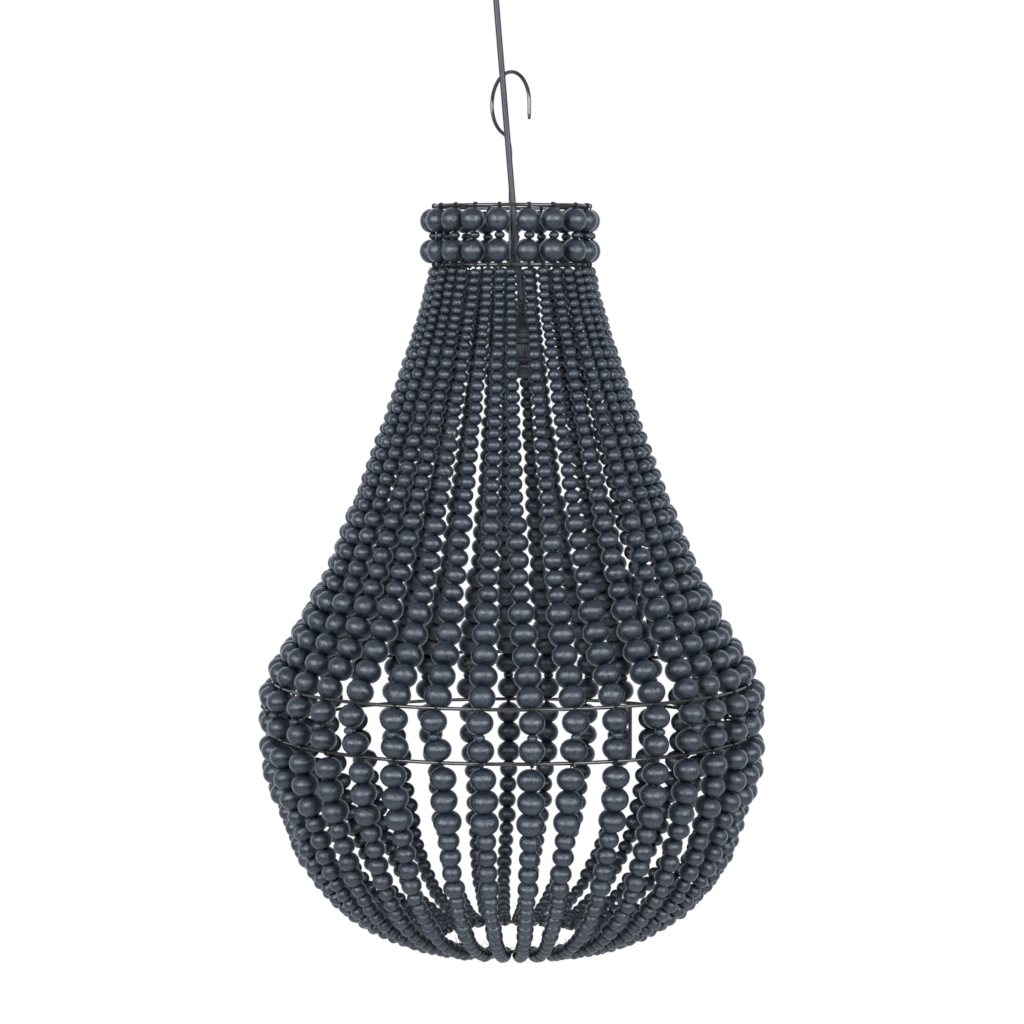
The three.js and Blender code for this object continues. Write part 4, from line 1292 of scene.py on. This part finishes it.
@dataclass
class Hook:
    """Hanging hook of one bent wire, and the bar that carries it."""

    wire: float = 1.9
    bow_radius: float = 31.5
    rise: float = 160.0
    shift: float = -1.5
    turn: float = math.radians(54.0)
    bow_start: float = math.radians(246.0)
    neck: float = 24.0
    tail: float = 16.8
    tip_shares: tuple[float, float] = (0.92, 0.6)
    eye_radius: float = 3.95
    eye_gap: float = 0.15
    bar_gap: float = 0.6

    def line(self) -> np.ndarray:
        """Draws the centre line of the stem and the bow, laid flat.

        Returns:
            Its points in two columns.
        """
        r, a = self.bow_radius, self.bow_start
        end = np.array([r * math.cos(a), r * math.sin(a)])
        ahead = np.array([math.sin(a), -math.cos(a)])
        start = end[1] - self.neck
        stem = [np.array([0.0, z]) for z in np.linspace(self.eye_radius - self.rise, start, 12, endpoint=False)]
        neck = bezier([(0.0, start), (0.0, start + 12), tuple(end - ahead * 10), tuple(end)], 12)
        bow = [np.array([r * math.cos(t), r * math.sin(t)]) for t in np.linspace(a, 0, 48)]
        tail = [np.array([r, -z]) for z in np.linspace(0, self.tail, 6)[1:]]
        return np.array([*stem, *neck, *bow, *tail])

    def build(self) -> None:
        """Bends the hook and sets the bar across the collar."""
        base = np.array([LAYOUT.shade_x + self.shift, LAYOUT.hook_depth, LAYOUT.collar_z])
        across, up = self.line().T
        path = np.stack([across * math.cos(self.turn), -across * math.sin(self.turn), up + self.rise], axis=1)
        radii = np.full(len(path), self.wire)
        radii[-2:] = [self.wire * share for share in self.tip_shares]
        angles = np.linspace(math.pi / 2 + self.eye_gap, 2.5 * math.pi - self.eye_gap, 40)
        eye = np.array([base + np.array([0, math.cos(a), math.sin(a)]) * self.eye_radius for a in angles])
        hook = Shape.of(swept(path + base, radii, 14), swept(eye, self.wire, 12))
        hook.piece("hook_wire", WIRE, Body.HOOK, ("hanging_hook",))
        wire = LAYOUT.wire_radius
        reach = math.sqrt((LAYOUT.collar_radius - wire - self.bar_gap) ** 2 - (LAYOUT.hook_depth + wire) ** 2)
        shares = (-1, -0.5, 0, 0.5, 1)
        line = [np.array([LAYOUT.shade_x + s * reach, LAYOUT.hook_depth, LAYOUT.collar_z]) for s in shares]
        Shape.of(swept(np.array(line), wire, 12)).piece("hook_bar_wire", WIRE, Body.PENDANT, ("hook_bar",))


@dataclass
class CeilingFitting:
    """Ceiling cup with its plate, screws and terminal block."""

    radius: float = 45.0
    height: float = 38.0
    wall: float = 1.6
    corner: float = 9.0
    seat_radius: float = 9.9
    seat_half: float = 3.7
    boss_radius: float = 13.9
    boss_height: float = 8.0
    screw_z: float = -8.0
    screw_x: float = 45.3
    slot_half: float = 0.5
    slot_depth: float = 0.9

    def cup(self) -> None:
        """Moulds the cup, with the round seat for the bush in its floor."""
        r, h, w, c, b = self.radius, self.height, self.wall, self.corner, self.boss_radius
        steep = math.pi / 2
        edge, inner = (
            [(r - c + reach * math.cos(a), -h + c - reach * math.sin(a)) for a in angles]
            for reach, angles in ((c, np.linspace(0, steep, 10)), (c - w, np.linspace(steep, 0, 8)))
        )
        rises = np.linspace(-self.seat_half, self.seat_half, 7)
        seat = [(math.sqrt(self.seat_radius**2 - z * z), LAYOUT.pivot_z + z) for z in rises]
        profile = [*edge, (b, -h), (12.6, -h + 0.25), (11.0, -h), (9.5, -h + 0.1), *seat]
        profile += [(9.6, -h + self.boss_height), (b, -h + self.boss_height), (b, -h + w), *inner]
        profile += [(r - w, -0.4), (r - w + 0.2, 0.0), (r - 0.2, 0.0), (r, -0.4)]
        Shape.of(turned(profile, 96)).piece("cup_shell", ABS, Body.CEILING, ("ceiling_cup",), weld=True)

    def screw(self, sign: int) -> Part:
        """Turns one side screw, with a slotted dome head.

        Args:
            sign: which side it is on.

        Returns:
            Points and faces.
        """
        head = [(0, 2.0), (1.4, 1.9), (2.6, 1.3), (3.2, 0.4), (3.3, 0.0), (1.6, 0.0)]
        shank = [(1.6 - 0.25 * (i % 2), -0.3 - 0.4 * i) for i in range(21)]
        points, faces = turned([*head, *shank, (0, -8.6)], 32, closed=False)
        slot = (np.abs(points[:, 1]) < self.slot_half) & (points[:, 2] > self.slot_depth)
        points[slot, 2] -= self.slot_depth
        spun = np.stack([points[:, 2] * sign, points[:, 1] * sign, points[:, 0]], axis=1)
        return spun + np.array([sign * self.screw_x, 0, self.screw_z]), faces

    def build(self) -> None:
        """Builds the cup and its screws, and dresses the frame's own plate and terminal block."""
        self.cup()
        for sign, side in ((1, "right"), (-1, "left")):
            screw = Shape.of(self.screw(sign))
            screw.piece(f"screw_{side}", ZINC, Body.CEILING, (f"cup_screw_{side}",), weld=True)
        for node, finish in (("ceiling_plate", ZINC), ("terminal_block", STEATITE)):
            materials = bpy.data.objects[node].data.materials
            materials.clear()
            materials.append(finish.material())


@dataclass(frozen=True)
class SoftBox:
    """One soft lamp: its place and side in metres, and its power in watts."""

    name: str
    place: tuple[float, float, float]
    power: float
    size: float = 3.3
    flatness: float = 0.5
    colour: str = "#eef4ff"


@dataclass
class Studio:
    """Camera, lamps, floor and backdrop colour, in metres."""

    lens: float = 113.276
    distance: float = 3.206
    eye_z: float = -0.3315
    pitch: float = math.radians(2.2)
    shift_y: float = -0.0984
    aim_z: float = -0.62
    floor_z: float = -2.3
    floor_half: float = 2.6
    floor_glow: float = 0.6
    daylight: float = 0.28
    lamps: tuple[SoftBox, ...] = (
        SoftBox("left_box", (-2.5, -3.1, 0.35), 225.0),
        SoftBox("right_box", (2.45, -3.15, 0.3), 215.0),
        SoftBox("top_box", (0.1, -1.2, 1.9), 9.0, 2.4),
    )

    def camera(self) -> None:
        """Sets the camera where the photograph was taken from."""
        data = bpy.data.cameras.new("view")
        data.lens = self.lens
        data.sensor_width = 36
        data.shift_y = self.shift_y
        data.clip_end = 50
        camera = bpy.data.objects.new("view", data)
        camera.location = (LAYOUT.shade_x * MM, -self.distance, self.eye_z)
        camera.rotation_euler = (math.pi / 2 - self.pitch, 0, 0)
        bpy.context.scene.collection.objects.link(camera)
        bpy.context.scene.camera = camera

    def lamp(self, box: SoftBox) -> None:
        """Hangs one soft box, turned to the shade's middle.

        Args:
            box: the lamp.
        """
        data = bpy.data.lights.new(box.name, "AREA")
        data.energy = box.power
        data.color = linear(box.colour)[:3]
        data.shape = "RECTANGLE"
        data.size, data.size_y = box.size, box.size * box.flatness
        lamp = bpy.data.objects.new(box.name, data)
        lamp.location = box.place
        aim = Vector((LAYOUT.shade_x * MM, 0, self.aim_z))
        lamp.rotation_euler = (aim - Vector(box.place)).to_track_quat("-Z", "Y").to_euler()
        bpy.context.scene.collection.objects.link(lamp)

    def world(self) -> None:
        """Makes the world white behind the object, also in what it mirrors there, and softer as light on it."""
        world = bpy.data.worlds.new("studio")
        bpy.context.scene.world = world
        world.use_nodes = True
        world.node_tree.nodes.clear()
        add = partial(add_node, world.node_tree)
        ray = add("LightPath").outputs
        mirrored = add("Math", {"operation": "MAXIMUM"}, (ray["Is Glossy Ray"], ray["Is Transmission Ray"]))
        direction = add("SeparateXYZ", inputs=(add("TexCoord").outputs["Generated"],))
        behind = add("MapRange", inputs=(direction.outputs[1], -0.1, 0.5, 0.0, 1.0))
        backdrop = add("Math", {"operation": "MULTIPLY"}, (mirrored, behind))
        seen = add("Math", {"operation": "MAXIMUM"}, (ray["Is Camera Ray"], backdrop))
        soft = add("Background", inputs={"Color": linear("#f0f6ff"), "Strength": self.daylight})
        tints = {0: ray["Is Camera Ray"], 6: linear("#e8f0ff"), 7: linear("#ffffff")}
        tinted = add("Mix", {"data_type": "RGBA"}, tints)
        white = add("Background", inputs={"Color": tinted.outputs[2], "Strength": 1.0})
        add("OutputWorld", inputs={"Surface": add("MixShader", inputs=(seen, soft, white))})

    def floor(self) -> None:
        """Lays a plain pale floor far below."""
        mesh = bpy.data.meshes.new("floor")
        half = self.floor_half
        corners = [(-half, -half), (half, -half), (half, half), (-half, half)]
        mesh.from_pydata([(x, y, self.floor_z) for x, y in corners], [], [(0, 1, 2, 3)])
        material = bpy.data.materials.new("pale_floor")
        material.use_nodes = True
        material.node_tree.nodes.clear()
        add = partial(add_node, material.node_tree)
        seen = add("LightPath").outputs["Is Camera Ray"]
        share = add("Math", {"operation": "MULTIPLY"}, (seen, self.floor_glow))
        paint = add("BsdfDiffuse", inputs={"Color": linear("#f2f2f2")})
        light = add("Emission", inputs={"Color": linear("#ffffff"), "Strength": 1.0})
        add("OutputMaterial", inputs={"Surface": add("MixShader", inputs=(share, paint, light))})
        mesh.materials.append(material)
        floor = bpy.data.objects.new("floor", mesh)
        bpy.context.scene.collection.objects.link(floor)

    def build(self) -> None:
        """Sets up the studio."""
        bpy.context.scene.view_settings.view_transform = "Standard"
        self.camera()
        for box in self.lamps:
            self.lamp(box)
        self.world()
        self.floor()


def main() -> None:
    """Builds the studio and every sub-assembly."""
    logging.basicConfig(level=logging.INFO, format="%(name)s: %(message)s")
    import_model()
    for part in (Studio(), Cord(), CeilingFitting(), LampHolder(), Carrier(), Cage(), Collar(), Hook(), Strings()):
        part.build()
        log.info("%s done", type(part).__name__)


if __name__ == "__main__":
    main()
